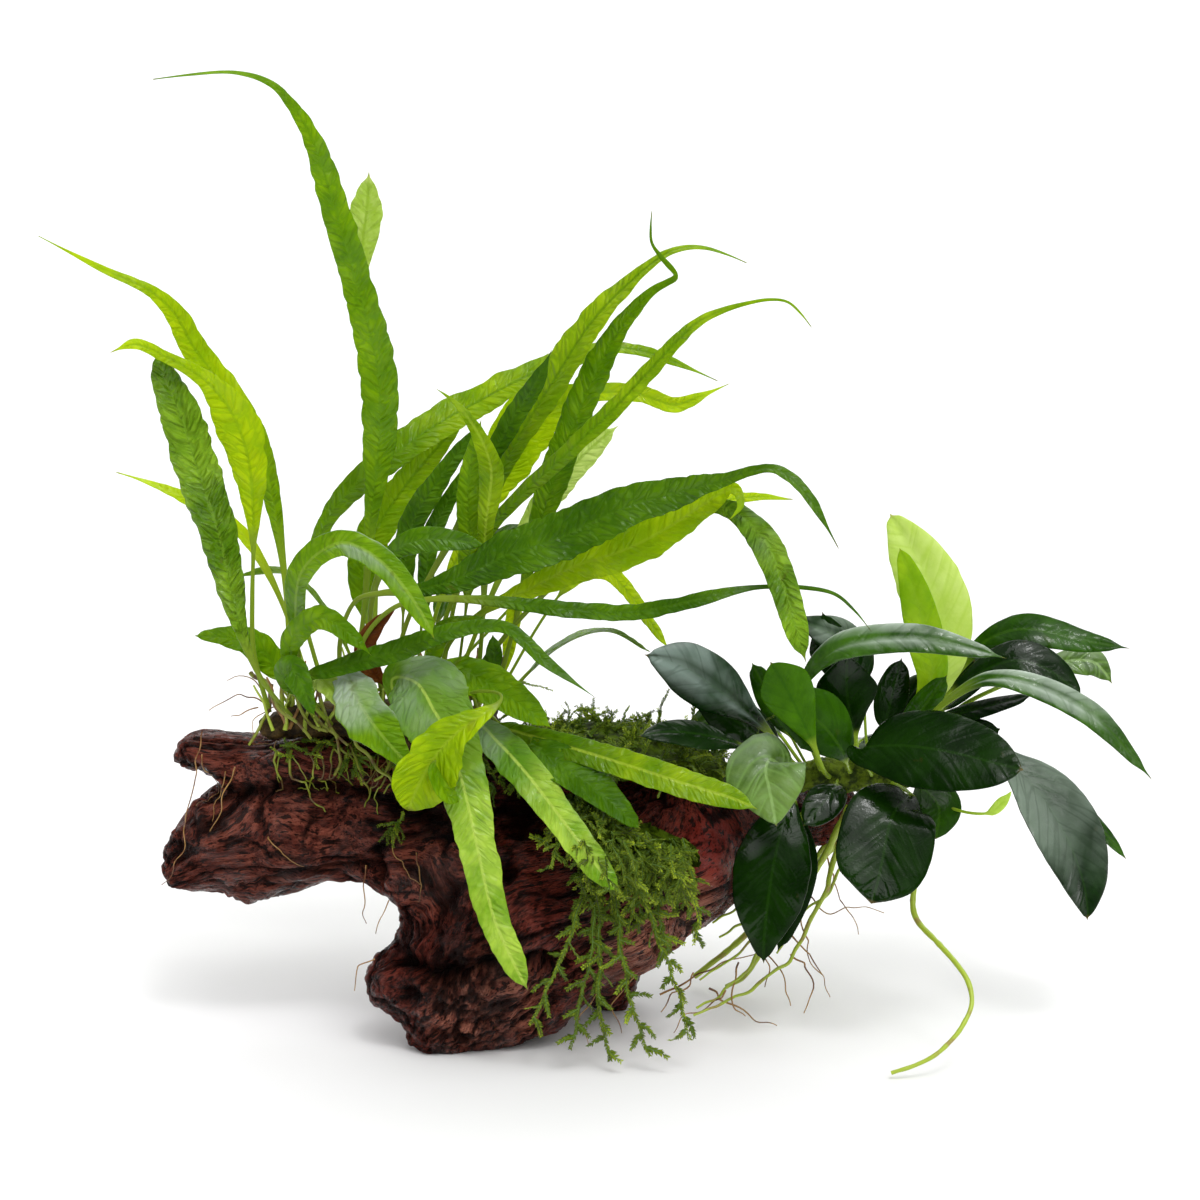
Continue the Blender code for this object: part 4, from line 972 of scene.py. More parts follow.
SMOOTH = {"quilt": 0.10, "scallop": 0.035, "ragged": 1.8, "ruffle": 0.24}
FROND_LOOKS = {
    "frond_tall": ("mid", {"wave": 9, "scallop": 0.11, "quilt_size": 8.0}),
    "frond_back_tall": ("pale", {}),
    "frond_far_left": ("lime_shaded", {"wave": 9, "scallop": 0.10, "quilt_size": 8.0}),
    "frond_lime_left": ("lime", {"scallop": 0.10, "quilt_size": 7.5}),
    "frond_dark_left": ("leafy", {"quilt": 0.85, "quilt_size": 4.5}),
    "frond_small_lime": ("yellow", {}),
    "frond_over_right": ("fresh", {}),
    "frond_high_right": ("fresh", {"wave": 8, "quilt_size": 8.0}),
    "frond_lime_back": ("lime", {}),
    "frond_curly": ("mid", {"ruffle": 0.3, "wave": 7}),
    "frond_thin_arch": ("fresh", {"wave": 7, "quilt_size": 7.0}),
    "frond_dark_upright": ("deep", {}),
    "frond_great_dark": ("deep", {"fold": 0.16, "quilt": 0.18}),
    "frond_under_dark": ("spring", {"wave": 7, "quilt": 0.2}),
    "frond_long_low": ("deep", {"ruffle": 0.34, "wave": 6, "quilt_size": 6.5}),
    "frond_hanging": ("leafy", SMOOTH),
    "frond_mid_dark": ("dark", SMOOTH),
    "frond_arching": ("sheen", {**SMOOTH, "fold": 0.2}),
    "frond_small_curl": ("mid", {"fold": 0.2}),
    "frond_level_front": ("deep", {"fold": 0.22}),
    "frond_front_bright": ("sheen", {**SMOOTH, "ragged": 4.0, "ruffle": 0.34, "wave": 7}),
    "frond_front_long": ("bright", SMOOTH),
    "frond_front_right": ("bright", SMOOTH),
    "frond_lime_twisted": ("spring", {**SMOOTH, "ragged": 4.5, "ruffle": 0.6, "wave": 5, "fold": 0.35}),
    "frond_lime_right": ("ribbed", SMOOTH),
    "frond_mid_right": ("mid", SMOOTH),
    "frond_pale_front": ("ribbed", SMOOTH),
    "frond_pale_rear": ("pale", {}),
}


# %% Make the fronds that have a solid
def blade_piece(name, spine, look, seed, material, slot, *nodes):
    mesh = blade_mesh(spine, look, seed)
    return finished(mesh, name, material, slot, *nodes)


TWISTED = spine_through([(-46, -12, 103), (-38, -24, 112), (-30, -36, 115), (-29, -43, 114), (-35, -46, 110),
                         (-42, -46, 105), (-48, -45, 98), (-53, -44, 89), (-56, -42, 81)], 8.0, 0.45,
                        (0, -0.5, 0.9), (0.3, -1, 0.3), 1.8)
for number, (node, (finish, changes)) in enumerate(FROND_LOOKS.items()):
    piece_name = node.replace("frond_", "") + "_frond"
    spine = TWISTED if node == "frond_lime_twisted" else spine_of(node)
    blade_piece(piece_name, spine, {**FROND, **changes}, number, fern_finish[finish], "fern", node)
print("fronds:", len(FROND_LOOKS))

# %% The anubias' greens
ANUBIAS = dict(cell=5.5, slant=1.1, stretch=3.0, stalk=(0.28, 0.42, 0.03), vein_tint=0.3, relief=0.35,
    wear=0.1,
               film=0.60, film_scale=140, wet=1.0, coat_roughness=0.06, rough=(0.20, 0.34), rib_tint=0.4)
# The grey, slate and silver finishes are dark green leaves; their grey and silver look is painted sheen on
# faces that look up. The pale finish has a little of it too.
anubias_finish = {
    "dark": leaf_material("anubias_dark", (0.0018, 0.011, 0.0004), (0.0060, 0.027, 0.0010), {
        **ANUBIAS, "rib": (0.015, 0.055, 0.003), "under": (0.04, 0.12, 0.008), "glow": (0.03, 0.16, 0.003),
        "thin": 0.05, "specular": 0.04}),
    "painted_grey_sheen": leaf_material("anubias_painted_grey_sheen", (0.0020, 0.012, 0.0010), (0.0070, 0.030, 0.003), {
        **ANUBIAS, "rib": (0.015, 0.055, 0.004), "under": (0.04, 0.12, 0.008), "glow": (0.03, 0.16, 0.003),
        "thin": 0.05, "specular": 0.04, "painted_sheen": 0.80, "painted_sheen_from": (0.10, 0.85),
        "painted_sheen_tint": (0.25, 0.32, 0.25)}),
    "slate": leaf_material("anubias_painted_slate_sheen", (0.0020, 0.012, 0.0010), (0.0070, 0.030, 0.003), {
        **ANUBIAS, "rib": (0.015, 0.055, 0.004), "under": (0.04, 0.12, 0.008), "glow": (0.03, 0.16, 0.003),
        "thin": 0.05, "specular": 0.04, "painted_sheen": 0.85, "painted_sheen_from": (-0.30, 0.30),
        "painted_sheen_tint": (0.22, 0.29, 0.25)}),
    "green": leaf_material("anubias_green", (0.010, 0.044, 0.0006), (0.030, 0.105, 0.002), {
        **ANUBIAS, "rib": (0.05, 0.14, 0.006), "under": (0.08, 0.20, 0.010), "glow": (0.07, 0.26, 0.002),
        "thin": 0.10, "specular": 0.05}),
    "silver": leaf_material("anubias_painted_silver_sheen", (0.014, 0.055, 0.0020), (0.050, 0.140, 0.010), {
        **ANUBIAS, "rib": (0.05, 0.14, 0.006), "under": (0.10, 0.24, 0.010), "glow": (0.08, 0.28, 0.003),
        "thin": 0.10, "painted_sheen": 0.90, "painted_sheen_from": (0.42, 0.92), "painted_sheen_tint": (0.46, 0.55, 0.45),
        "painted_sheen_scale": 30}),
    "bright": leaf_material("anubias_bright", (0.030, 0.105, 0.0006), (0.062, 0.185, 0.002), {
        **ANUBIAS, "rib": (0.02, 0.09, 0.001), "glow": (0.13, 0.38, 0.002), "thin": 0.14, "wet": 0.5,
        "specular": 0.05}),
    "pale": leaf_material("anubias_pale", (0.045, 0.110, 0.006), (0.150, 0.260, 0.050), {
        **ANUBIAS, "rib": (0.26, 0.42, 0.12), "vein": (0.20, 0.36, 0.08), "glow": (0.20, 0.40, 0.03),
        "thin": 0.14,
        "relief": 0.8, "rib_tint": 0.8, "vein_tint": 0.5, "painted_sheen": 0.20, "painted_sheen_from": (0.2, 0.8)}),
    "young": leaf_material("anubias_young", (0.520, 0.700, 0.130), (0.700, 0.840, 0.300), {
        **ANUBIAS, "rib": (0.60, 0.78, 0.20), "vein": (0.46, 0.66, 0.08), "glow": (0.85, 0.97, 0.30),
        "thin": 0.40, "wet": 0.4, "vein_tint": 0.5}),
    "lobe": leaf_material("anubias_lobe", (0.200, 0.400, 0.004), (0.420, 0.620, 0.015), {
        **ANUBIAS, "rib": (0.30, 0.50, 0.02), "glow": (0.55, 0.78, 0.01), "thin": 0.40, "wet": 0.4}),
    "lime": leaf_material("anubias_lime", (0.430, 0.660, 0.040), (0.620, 0.820, 0.150), {
        **ANUBIAS, "rib": (0.46, 0.70, 0.06), "vein": (0.36, 0.60, 0.02), "glow": (0.80, 0.97, 0.12),
        "thin": 0.42, "wet": 0.4, "vein_tint": 0.5}),
}

LEAF = dict(spacing=0.9, fold=0.10, arch=0.16, ruffle=0.07, wave=16, ragged=0.35, quilt=0.10, quilt_size=6.0,
            slant=1.1, groove=0.30, thick=0.5, rib=0.5, scallop=0.0, wide=1.0)

LEAF_LOOKS = {
    "leaf_big_front": ("dark", {}),
    "leaf_heart": ("dark", {"arch": 0.1}),
    "leaf_right_hanging": ("painted_grey_sheen", {"fold": 0.3, "wide": 1.2}),
    "leaf_young": ("young", {"fold": 0.25, "ruffle": 0.16, "wave": 9, "ragged": 0.8, "quilt": 0.3}),
    "leaf_arching": ("silver", {"ruffle": 0.14, "wave": 12}),
    "leaf_upper_right": ("green", {}),
    "leaf_dark_right": ("dark", {}),
    "leaf_narrow_right": ("silver", {"ruffle": 0.1}),
    "leaf_back_right": ("pale", {}),
    "leaf_upper_left": ("slate", {"groove": 0.4}),
    "leaf_level_left": ("dark", {}),
    "leaf_round_bright": ("bright", {}),
    "leaf_under_round": ("green", {}),
    "leaf_arrowhead": ("pale", {"groove": 0.35}),
    "leaf_hanging_big": ("dark", {"groove": 0.35}),
    "leaf_centre": ("dark", {}),
    "leaf_top_back": ("dark", {}),
}

# %% Make the anubias leaves that have a solid
YOUNG_HEIGHT, YOUNG_BELLY = 79, 16
YOUNG = spine_through([(88 + YOUNG_BELLY * math.sin(math.pi * k / 7), 11 + k, 79 + YOUNG_HEIGHT * k / 7)
                       for k in range(8)], 9.6, 0.25, (0.3, -0.9, 0), (-0.2, -1, 0.1), 1.1)
for number, (node, (finish, changes)) in enumerate(LEAF_LOOKS.items()):
    piece_name = node.replace("leaf_", "") + "_leaf"
    look = {**LEAF, **changes}
    spine = YOUNG if node == "leaf_young" else spine_of(node)
    blade_piece(piece_name, spine, look, 40 + number, anubias_finish[finish], "anubias", node)
print("anubias leaves:", len(LEAF_LOOKS))

# %% [markdown]
# ## Leaves that fill the clumps
#
# The solids hold the leaves that stand clear. A real clump is denser, so more of the same leaves are grown
# here between them. Each has its midrib as a short row of points in mm, its half width, the share of its
# length that is stalk, and the way its upper side looks at the base and at the tip.


# %% More fronds
FRONT, TOP = (0, -1, 0.2), (0, -0.5, 0.9)
# name: stations, half width, share of stalk, face, tip face, finish, changes
MORE_FRONDS = {
    "short_left": ([(-90, 4, 100), (-95, 6, 108), (-103, 4, 119), (-112, 2, 123), (-122, 0, 124)], 4.3, 0.25,
                   FRONT, TOP, "mid", {}),
    "lime_tip": ([(-52, 30, 98), (-40, 34, 112), (-12, 42, 139), (12, 48, 151), (45, 55, 156),
        (61, 58, 155)], 2.6,
                 0.5, TOP, TOP, "lime", {}),
    "over_moss": ([(-33, -2, 100), (-25, -20, 97), (-13, -30, 93), (0, -37, 85), (12, -41, 75)], 6.3, 0.1,
                  TOP, (0.3, -0.9, 0.5), "deep", {"fold": 0.25}),
    "pale_behind": ([(-66, 24, 101), (-73, 28, 129), (-71, 30, 146), (-61, 34, 162), (-50, 38, 175),
        (-42, 42, 183)],
                    4.7, 0.25, FRONT, FRONT, "fresh", {}),
    "dark_behind": ([(-61, 22, 101), (-60, 20, 131), (-58, 20, 152), (-49, 20, 168), (-36, 24, 185)], 3.0,
        0.3,
                    FRONT, FRONT, "deep", {}),
    "slim_behind": ([(-57, 26, 100), (-54, 26, 130), (-51, 26, 151), (-38, 30, 174)], 2.2, 0.3, FRONT, FRONT,
                    "dark", {}),
    "slim_middle": ([(-44, 10, 104), (-40, 4, 135), (-39, 1, 153), (-39, -3, 172), (-35, -6, 191)], 3.0, 0.35,
                    FRONT, FRONT, "mid", {}),
    "pale_edge": ([(-50, 38, 98), (-47, 42, 118), (-41, 46, 138), (-31, 52, 175), (-16, 56, 202)], 4.0, 0.3,
                  FRONT, FRONT, "lime", {}),
    "lime_droop": ([(-31, 22, 101), (-18, 26, 123), (-8, 30, 135), (1, 34, 137), (9, 38, 129),
        (22, 46, 109)], 2.8,
                   0.4, TOP, (0.6, -0.6, 0.5), "lime", {}),
    "lime_fall": ([(-31, 18, 101), (-27, 18, 118), (-25, 18, 134), (-27, 18, 122), (-29, 17, 108)], 1.7, 0.5,
                  FRONT, FRONT, "yellow", {}),
    "short_dark": ([(-41, 4, 103), (-36, -2, 111), (-32, -5, 118), (-32, -7, 126)], 2.5, 0.2, FRONT, FRONT,
                   "deep", {}),
    "short_lime": ([(-51, -2, 104), (-50, -5, 118), (-46, -7, 128), (-34, -10, 132)], 2.4, 0.3, FRONT, TOP,
                   "mid", {}),
    "hanging_dark": ([(-84, -8, 104), (-92, -16, 114), (-91, -22, 119), (-88, -25, 115), (-84, -28, 106)],
        3.6, 0.2,
                     FRONT, (-0.4, -1, 0.3), "dark", {}),
    "small_pale": ([(-88, -8, 105), (-85, -14, 114), (-80, -20, 113), (-75, -25, 107)], 2.9, 0.2, TOP, FRONT,
                   "pale", {}),
    "twisted_flap": ([(-48, -45, 97), (-46, -47, 91), (-44, -47, 87), (-41, -47, 85)], 3.4, 0.0,
        (0.6, -0.8, 0),
                     (0.8, -0.6, 0.2), "mid", {}),
    "dead": ([(-64, 4, 106), (-69, -6, 116), (-70, -9, 123), (-66, -10, 130), (-61, -10, 134)], 2.6, 0.15,
        FRONT,
             FRONT, "brown", {"ragged": 2.5}),
    "back_low": ([(-72, 26, 100), (-84, 38, 122), (-98, 46, 134), (-114, 50, 132)], 4.0, 0.25, (0, 0.6, 0.8),
                 (0, 0.4, 0.9), "mid", {}),
    "back_middle": ([(-54, 30, 100), (-48, 44, 128), (-34, 52, 144), (-16, 55, 146), (-4, 56, 138)], 4.6,
        0.25,
                    (0, 0.7, 0.7), (0.3, 0.3, 0.9), "dark", {}),
    "back_right": ([(-30, 26, 98), (-14, 36, 112), (2, 44, 116), (16, 48, 108)], 4.2, 0.2, (0.2, 0.4, 0.9),
                   (0.5, 0.3, 0.7), "mid", {}),
}
for number, (name, (stations, half, stalk, face, tip_face, finish,
    changes)) in enumerate(MORE_FRONDS.items()):
    spine = spine_through(stations, half, stalk, face, tip_face)
    blade_piece(name + "_frond", spine, {**FROND, **changes}, 70 + number, fern_finish[finish], "fern")

MORE_LEAVES = {
    "under": ([(90, 2, 80), (95, -3, 79), (99, -7, 77), (102, -10, 73), (101, -12, 64)], 7.5, 0.3, TOP,
              (0.5, -0.9, 0.2), "green", {}),
    "behind_stalks": ([(95, 10, 80), (107, 14, 86), (123, 17, 91)], 6.0, 0.3, FRONT, FRONT, "dark", {}),
    "dark_mid_left": ([(61, 8, 81), (53, 4, 89), (45, 0, 95), (37, -3, 101), (29, -6, 106)], 6.3, 0.25, FRONT,
                      FRONT, "dark", {}),
    "far_tip": ([(97, 18, 80), (120, 20, 80), (140, 14, 72), (153, 8, 62), (161, 4, 53)], 3.4, 0.3, TOP,
                (0.6, -0.6, 0.3), "green", {}),
    "crown": ([(82, 16, 84), (80, 22, 108), (74, 21, 118), (67, 19, 122), (61, 18, 125)], 6.2, 0.4, FRONT,
              (0, -0.7, 0.7), "painted_grey_sheen", {}),
    "back_top": ([(91, 26, 78), (108, 30, 96), (120, 32, 110), (128, 32, 121), (134, 32, 122)], 5.0, 0.35,
        TOP, TOP,
                 "painted_grey_sheen", {}),
    "strip": ([(93, 16, 81), (99, 17, 88), (107, 18, 94), (133, 16, 102)], 3.2, 0.25, TOP, TOP, "dark", {}),
    "upper_dark": ([(89, 20, 80), (98, 22, 96), (108, 22, 104), (115, 20, 112)], 4.5, 0.3, FRONT, FRONT,
        "dark", {}),
    "painted_grey_sheen": ([(83, 22, 79), (92, 26, 94), (101, 28, 106)], 4.4, 0.3, FRONT, FRONT, "painted_grey_sheen", {}),
    "green_middle": ([(85, 8, 82), (95, 6, 96), (105, 4, 111)], 3.6, 0.3, FRONT, FRONT, "green", {}),
    "behind_hanging": ([(65, 8, 76), (61, 2, 66), (61, -2, 51), (54, -7, 27)], 4.5, 0.2, FRONT, FRONT,
        "dark", {}),
    "upright": ([(85, 16, 81), (88, 15, 96), (92, 14, 114)], 4.6, 0.3, FRONT, FRONT, "dark", {}),
    "left_upright": ([(63, 14, 81), (54, 11, 98), (46, 8, 114)], 3.6, 0.3, FRONT, FRONT, "green", {}),
    "lower_dark": ([(72, 0, 79), (70, -9, 78), (61, -15, 69)], 5.0, 0.2, TOP, FRONT, "dark", {}),
    "bud": ([(93, -2, 80), (105, -8, 73), (116, -12, 72), (121, -15, 77), (123, -16, 80)], 1.1, 0.7, FRONT,
        FRONT,
            "lime", {}),
    "young_side": ([(90, 9, 79), (97, 9, 97), (101, 9, 109), (99, 8, 120), (96, 7, 132), (93, 6, 142),
                    (90, 5, 150)], 5.2, 0.25, (0.4, -0.9, 0), (0.1, -0.9, 0), "lobe", {"fold": 0.1}),
    "back_fall": ([(78, 20, 80), (82, 34, 84), (88, 44, 76), (92, 50, 60)], 8.0, 0.25, (0, 0.5, 0.9),
        (0, 1, 0.2),
                  "dark", {}),
    "back_left": ([(62, 16, 80), (52, 30, 90), (40, 40, 92), (28, 46, 84)], 7.0, 0.25, (0, 0.5, 0.9),
                  (-0.3, 0.8, 0.5), "green", {}),
}
for number, (name, (stations, half, stalk, face, tip_face, finish,
    changes)) in enumerate(MORE_LEAVES.items()):
    spine = spine_through(stations, half, stalk, face, tip_face, 0.9)
    blade_piece(name + "_leaf", spine, {**LEAF, **changes}, 100 + number, anubias_finish[finish], "anubias")
print("more leaves:", len(MORE_FRONDS), "and", len(MORE_LEAVES))

# %% [markdown]
# ## Roots, rootlets and threads
#
# Everything thin and round is a curve with a bevel: the three roots that have solids, and the rootlets that
# cling to the wood and hang below it. A thread that clings is a random walk, pulled back onto the wood
# after every step.


# %% Threads
def thread_piece(paths, name, material, slot, *nodes, sides=1):
    """Round threads through rows of x, y, z and radius, all in mm, as one piece."""
    curve = bpy.data.curves.new(name, "CURVE")
    curve.dimensions = "3D"
    curve.bevel_depth = MM
    curve.bevel_resolution = sides
    curve.use_fill_caps = True
    for path in paths:
        spline = curve.splines.new("POLY")
        spline.points.add(len(path) - 1)
        spline.points.foreach_set("co", np.column_stack([path[:, :3] * MM, np.ones(len(path))]).ravel())
        spline.points.foreach_set("radius", path[:, 3])
    helper = bpy.data.objects.new(name, curve)
    bpy.context.scene.collection.objects.link(helper)
    graph = bpy.context.evaluated_depsgraph_get()
    mesh = bpy.data.meshes.new_from_object(helper.evaluated_get(graph))
    bpy.data.objects.remove(helper)
    return finished(mesh, name, material, slot, *nodes)


def thread(stations, radius, tip_radius, wander=0.4, seed=0.0, spacing=1.0, shift=(0, 0, 0)):
    """A smooth path through the stations that wanders a little, with knots in its thickness."""
    line, reached = even_run(np.array(stations, float) + shift, spacing)
    walk = np.stack([reached, reached * 0 + seed * 3.7, reached * 0 + 1.3], axis=1)
    ends = np.clip(np.minimum(reached, reached[-1] - reached) / 6, 0, 1)
    for axis in range(3):
        line[:, axis] += wander * ends * noise_at(walk, 7, axis * 5.1) * 2
    line[:, 2] = np.maximum(line[:, 2], 0.35)
    share = reached / reached[-1]
    thickness = (radius + (tip_radius - radius) * share) * (1 + 0.18 * noise_at(walk, 2.2, 9.0))
    return np.column_stack([line, thickness])


def thread_material(name, pale, brown, share):
    """A root's skin: pale with brown patches, the patches taking up about that share."""
    material, tree, shader, _ = new_material(name)
    here = add(tree, "TexCoord").outputs["Object"]
    patches = stretch(tree, grains(tree, here, 130, 3, 0.6), 0.62 - 0.3 * share, 0.74 - 0.3 * share)
    colour = blend(tree, patches, pale, brown)
    tree.links.new(colour, shader.inputs["Base Color"])
    shader.inputs["Roughness"].default_value = 0.38
    bump = add(tree, "Bump", {"Height": grains(tree, here, 900, 3, 0.6), "Strength": 0.3, "Distance": 0.0003})
    tree.links.new(bump.outputs["Normal"], shader.inputs["Normal"])
    return material


OLIVE_ROOT = thread_material("olive_root", (0.21, 0.25, 0.015), (0.10, 0.055, 0.010), 0.5)
GREEN_ROOT = thread_material("green_root", (0.38, 0.50, 0.04), (0.34, 0.28, 0.06), 0.3)
BROWN_ROOT = thread_material("brown_root", (0.36, 0.19, 0.05), (0.15, 0.055, 0.015), 0.5)

# %% The roots that have a solid
LONG_ROOT = (
    (95, 3, 74), (101, 2, 62), (98, -1, 52), (95, -5, 44), (96, -11, 38), (104, -24, 32), (109, -33, 27),
    (110, -38, 21), (107, -42, 15), (101, -45, 9), (94, -46, 5), (86, -46, 2),
)
BACK_ROOT = ((88, 16, 72), (82, 33, 58), (68, 38, 42), (54, 39, 27), (42, 40, 14), (30, 40, 4))
SIDE_ROOT = ((76, 4, 70), (70, 2, 58), (65, 4, 48), (58, 12, 34), (52, 22, 20), (46, 30, 8), (40, 33, 3))

for name, stations, radius in (("long", LONG_ROOT, 1.05), ("back", BACK_ROOT, 1.5), ("side", SIDE_ROOT, 1.2)):
    path = thread(stations, radius, radius * 0.6, 0.15, radius, 0.8, DESIGN_SHIFT)
    thread_piece([path], name + "_root", GREEN_ROOT, "root", "root_" + name, sides=3)

# %% Rootlets of the anubias
# From under the leaves they run down behind the wood to the floor. Places in mm, with the radius at the
# start.
FREE_ROOTS = (
    (((78, 6, 66), (70, 2, 40), (60, -4, 22), (45, -8, 12), (30, -14, 7)), 1.1),
    (((74, 10, 60), (64, 4, 43), (54, -2, 27), (40, -8, 13), (31, -13, 9)), 0.8),
    (((74, 12, 56), (60, 6, 36), (44, -4, 24), (32, -10, 17)), 0.7),
    (((70, 10, 58), (62, 8, 46), (51, 2, 36), (38, -8, 30)), 0.9),
    (((68, 12, 56), (58, 8, 47), (46, 2, 38), (36, -6, 34)), 0.7),
    (((82, 10, 62), (76, 8, 48), (70, 4, 38), (62, 2, 33), (56, 1, 22)), 0.6),
    (((92, 2, 74), (96, -3, 66), (97, -6, 60)), 0.8),
)
FINE_ROOTS = (
    ((20, 0, 9), (29, -1, 14), (42, -2, 20), (52, -1, 24)),
    ((35, -6, 13), (42, -4, 8), (50, -4, 3), (56, -6, 1)),
    ((52, -2, 24), (58, -6, 16), (60, -8, 8)), ((44, -5, 21), (42, -9, 13), (46, -12, 6)),
    ((61, 14, 47), (72, 15, 31), (83, 15, 33), (90, 14, 31)), ((56, 2, 30), (64, 0, 24), (70, -2, 16)),
    ((40, -8, 13), (34, -10, 8), (28, -14, 6), (24, -16, 2)), ((48, 0, 30), (54, -4, 22), (52, -8, 14)),
    ((30, -12, 20), (26, -16, 14), (20, -20, 10)), ((60, -3, 23), (66, -6, 14), (64, -9, 6)),
    ((60, 10, 40), (66, 16, 24), (70, 20, 10), (74, 22, 1)), ((72, 34, 46), (78, 38, 30), (84, 40, 16)),
)
free = [thread(stations, radius, 0.35, 0.9, 20 + i) for i, (stations, radius) in enumerate(FREE_ROOTS)]
thread_piece(free, "anubias_roots", GREEN_ROOT, "root", sides=1)
fine = [thread(stations, 0.35, 0.15, 1.6, 40 + i) for i, stations in enumerate(FINE_ROOTS)]
thread_piece(fine, "anubias_rootlets", BROWN_ROOT, "root", sides=0)

# %% Threads that cling to the wood
wood_bm = bmesh.new()
wood_bm.from_mesh(wood_mesh)
WOOD_TREE = BVHTree.FromBMesh(wood_bm)
wood_bm.free()


def on_wood(point, gap=0.3):
    """The nearest place on the wood, lifted off it by the gap."""
    hit, normal, _, _ = WOOD_TREE.find_nearest(Vector(point) * MM)
    return np.array(hit) / MM + np.array(normal) * gap


def out_of_wood(point, gap=0.6):
    """The point itself, or the nearest one outside if it is inside the wood."""
    hit, normal, _, _ = WOOD_TREE.find_nearest(Vector(point) * MM)
    depth = (Vector(point) * MM - hit).dot(normal) / MM
    return point if depth > gap else np.array(hit) / MM + np.array(normal) * gap


def clinging(dice, start, heading, length, radius, restless=0.45):
    """A random walk over the wood."""
    heading = np.array(heading, float)
    points = [on_wood(start)]
    for _ in range(int(length / 1.6)):
        heading += dice.normal(0, restless, 3) + (0, 0, -0.10)
        heading /= np.linalg.norm(heading)
        points.append(on_wood(points[-1] + heading * 1.6, 0.3 + radius))
    line = smooth_run(np.array(points), 3)
    taper = np.linspace(1, 0.4, len(line))
    return np.column_stack([line, radius * taper])


dice = np.random.default_rng(7)
olive_runs = [clinging(dice, (dice.uniform(-98, -34), -14, dice.uniform(90, 98)),
    (dice.uniform(-0.3, 1.1), -0.3, -1),
                       dice.uniform(12, 36), dice.uniform(0.25, 0.6), 0.22) for _ in range(34)]
brown_runs = [clinging(dice, (dice.uniform(-105, -30), dice.uniform(-14, 20), 92),
    (dice.uniform(-1, 1), -0.4, -0.7),
                       dice.uniform(12, 36), dice.uniform(0.15, 0.28), 0.25) for _ in range(50)]
for start, heading, length in (((-118, -12, 90), (0, -0.3, -1), 34), ((-112, -14, 84), (-0.2, 0, -1), 26),
                               ((-60, -18, 66), (0.1, -0.2, -1), 26), ((-96, -15, 62), (0.3, 0, -1), 18),
                               ((-52, -20, 60), (0.2, -0.3, -1), 22), ((20, -24, 55), (0.4, 0, -1), 24)):
    brown_runs.append(clinging(dice, start, heading, length, 0.20, 0.2))
thread_piece(olive_runs, "clinging_olive_roots", OLIVE_ROOT, "root", sides=0)
thread_piece(brown_runs, "clinging_brown_roots", BROWN_ROOT, "root", sides=0)

# Runners that climb down from the fern, by their stations in mm.
RUNNERS = (
    ((-104, -4, 112), (-95, -12, 104), (-85, -18, 95)),
    ((-78, -10, 109), (-72, -17, 98), (-70, -19, 92), (-58, -24, 80)),
    ((-68, -10, 109), (-63, -15, 97), (-60, -20, 88), (-66, -22, 83)),
    ((-92, -6, 108), (-84, -14, 100), (-74, -18, 93)),
    ((-86, -4, 112), (-80, -14, 102), (-76, -18, 90), (-78, -19, 84)),
    ((-74, -8, 106), (-66, -18, 96), (-56, -22, 88)),
    ((-98, -2, 108), (-100, -10, 98), (-104, -14, 92)), ((-60, -10, 104), (-52, -20, 94), (-46, -24, 84)),
    ((-90, -2, 122), (-92, -8, 112), (-88, -14, 102), (-80, -17, 97)),
    ((-50, -10, 102), (-44, -20, 94), (-42, -25, 84)),
)
runs = [thread(stations, 0.75, 0.45, 1.0, 120 + i) for i, stations in enumerate(RUNNERS)]
thread_piece(runs, "fern_runners", OLIVE_ROOT, "root", sides=1)

# Threads that hang free, by their stations in mm.
HANGING_THREADS = (
    ((-118, -13, 96), (-122, -17, 79), (-123, -17, 66), (-127, -17, 54), (-131, -16, 49)),
    ((-108, -17, 86), (-112, -18, 74), (-116, -17, 66)), ((-69, -19, 56), (-70, -20, 44), (-69, -20, 38)),
    ((-101, 0, 102), (-108, -2, 105), (-113, -3, 103), (-117, -3, 100)), ((-102, -3, 101), (-110, -6, 99)),
    ((-100, 4, 103), (-107, 4, 109), (-112, 3, 108)), ((-95, -4, 102), (-101, -9, 100), (-103, -12, 92)),
    ((-62, -22, 46), (-66, -24, 36)), ((-66, -30, 30), (-71, -32, 27), (-72, -33, 21)),
    ((-40, -14, 101), (-30, -22, 99), (-26, -27, 93)), ((12, -22, 22), (6, -26, 15), (8, -28, 6)),
    ((2, -26, 20), (-4, -30, 12), (-2, -32, 4)), ((-66, 34, 60), (-70, 38, 44), (-68, 38, 34)),
)
hung = [thread(stations, 0.24, 0.12, 1.4, 60 + i) for i, stations in enumerate(HANGING_THREADS)]
thread_piece(hung, "hanging_rootlets", BROWN_ROOT, "root", sides=0)

# %% [markdown]
# ## The rhizomes
#
# The fern and the anubias each creep on a thick stem, which is the solid's shape made lumpy. Around the
# fern's stem sit the stumps of old stalks and a tangle of rootlets.

# %% Rhizomes
def rhizome_material(name, dark, light, specular=0.15):
    material, tree, shader, _ = new_material(name)
    here = add(tree, "TexCoord").outputs["Object"]
    colour = blend(tree, stretch(tree, grains(tree, here, 260, 4, 0.65), 0.38, 0.64), dark, light)
    tree.links.new(colour, shader.inputs["Base Color"])
    shader.inputs["Roughness"].default_value = 0.5
    shader.inputs["Specular IOR Level"].default_value = specular
    bump = add(tree, "Bump", {"Height": grains(tree, here, 700, 4, 0.7), "Strength": 0.9, "Distance": 0.0008})
    tree.links.new(bump.outputs["Normal"], shader.inputs["Normal"])
    return material


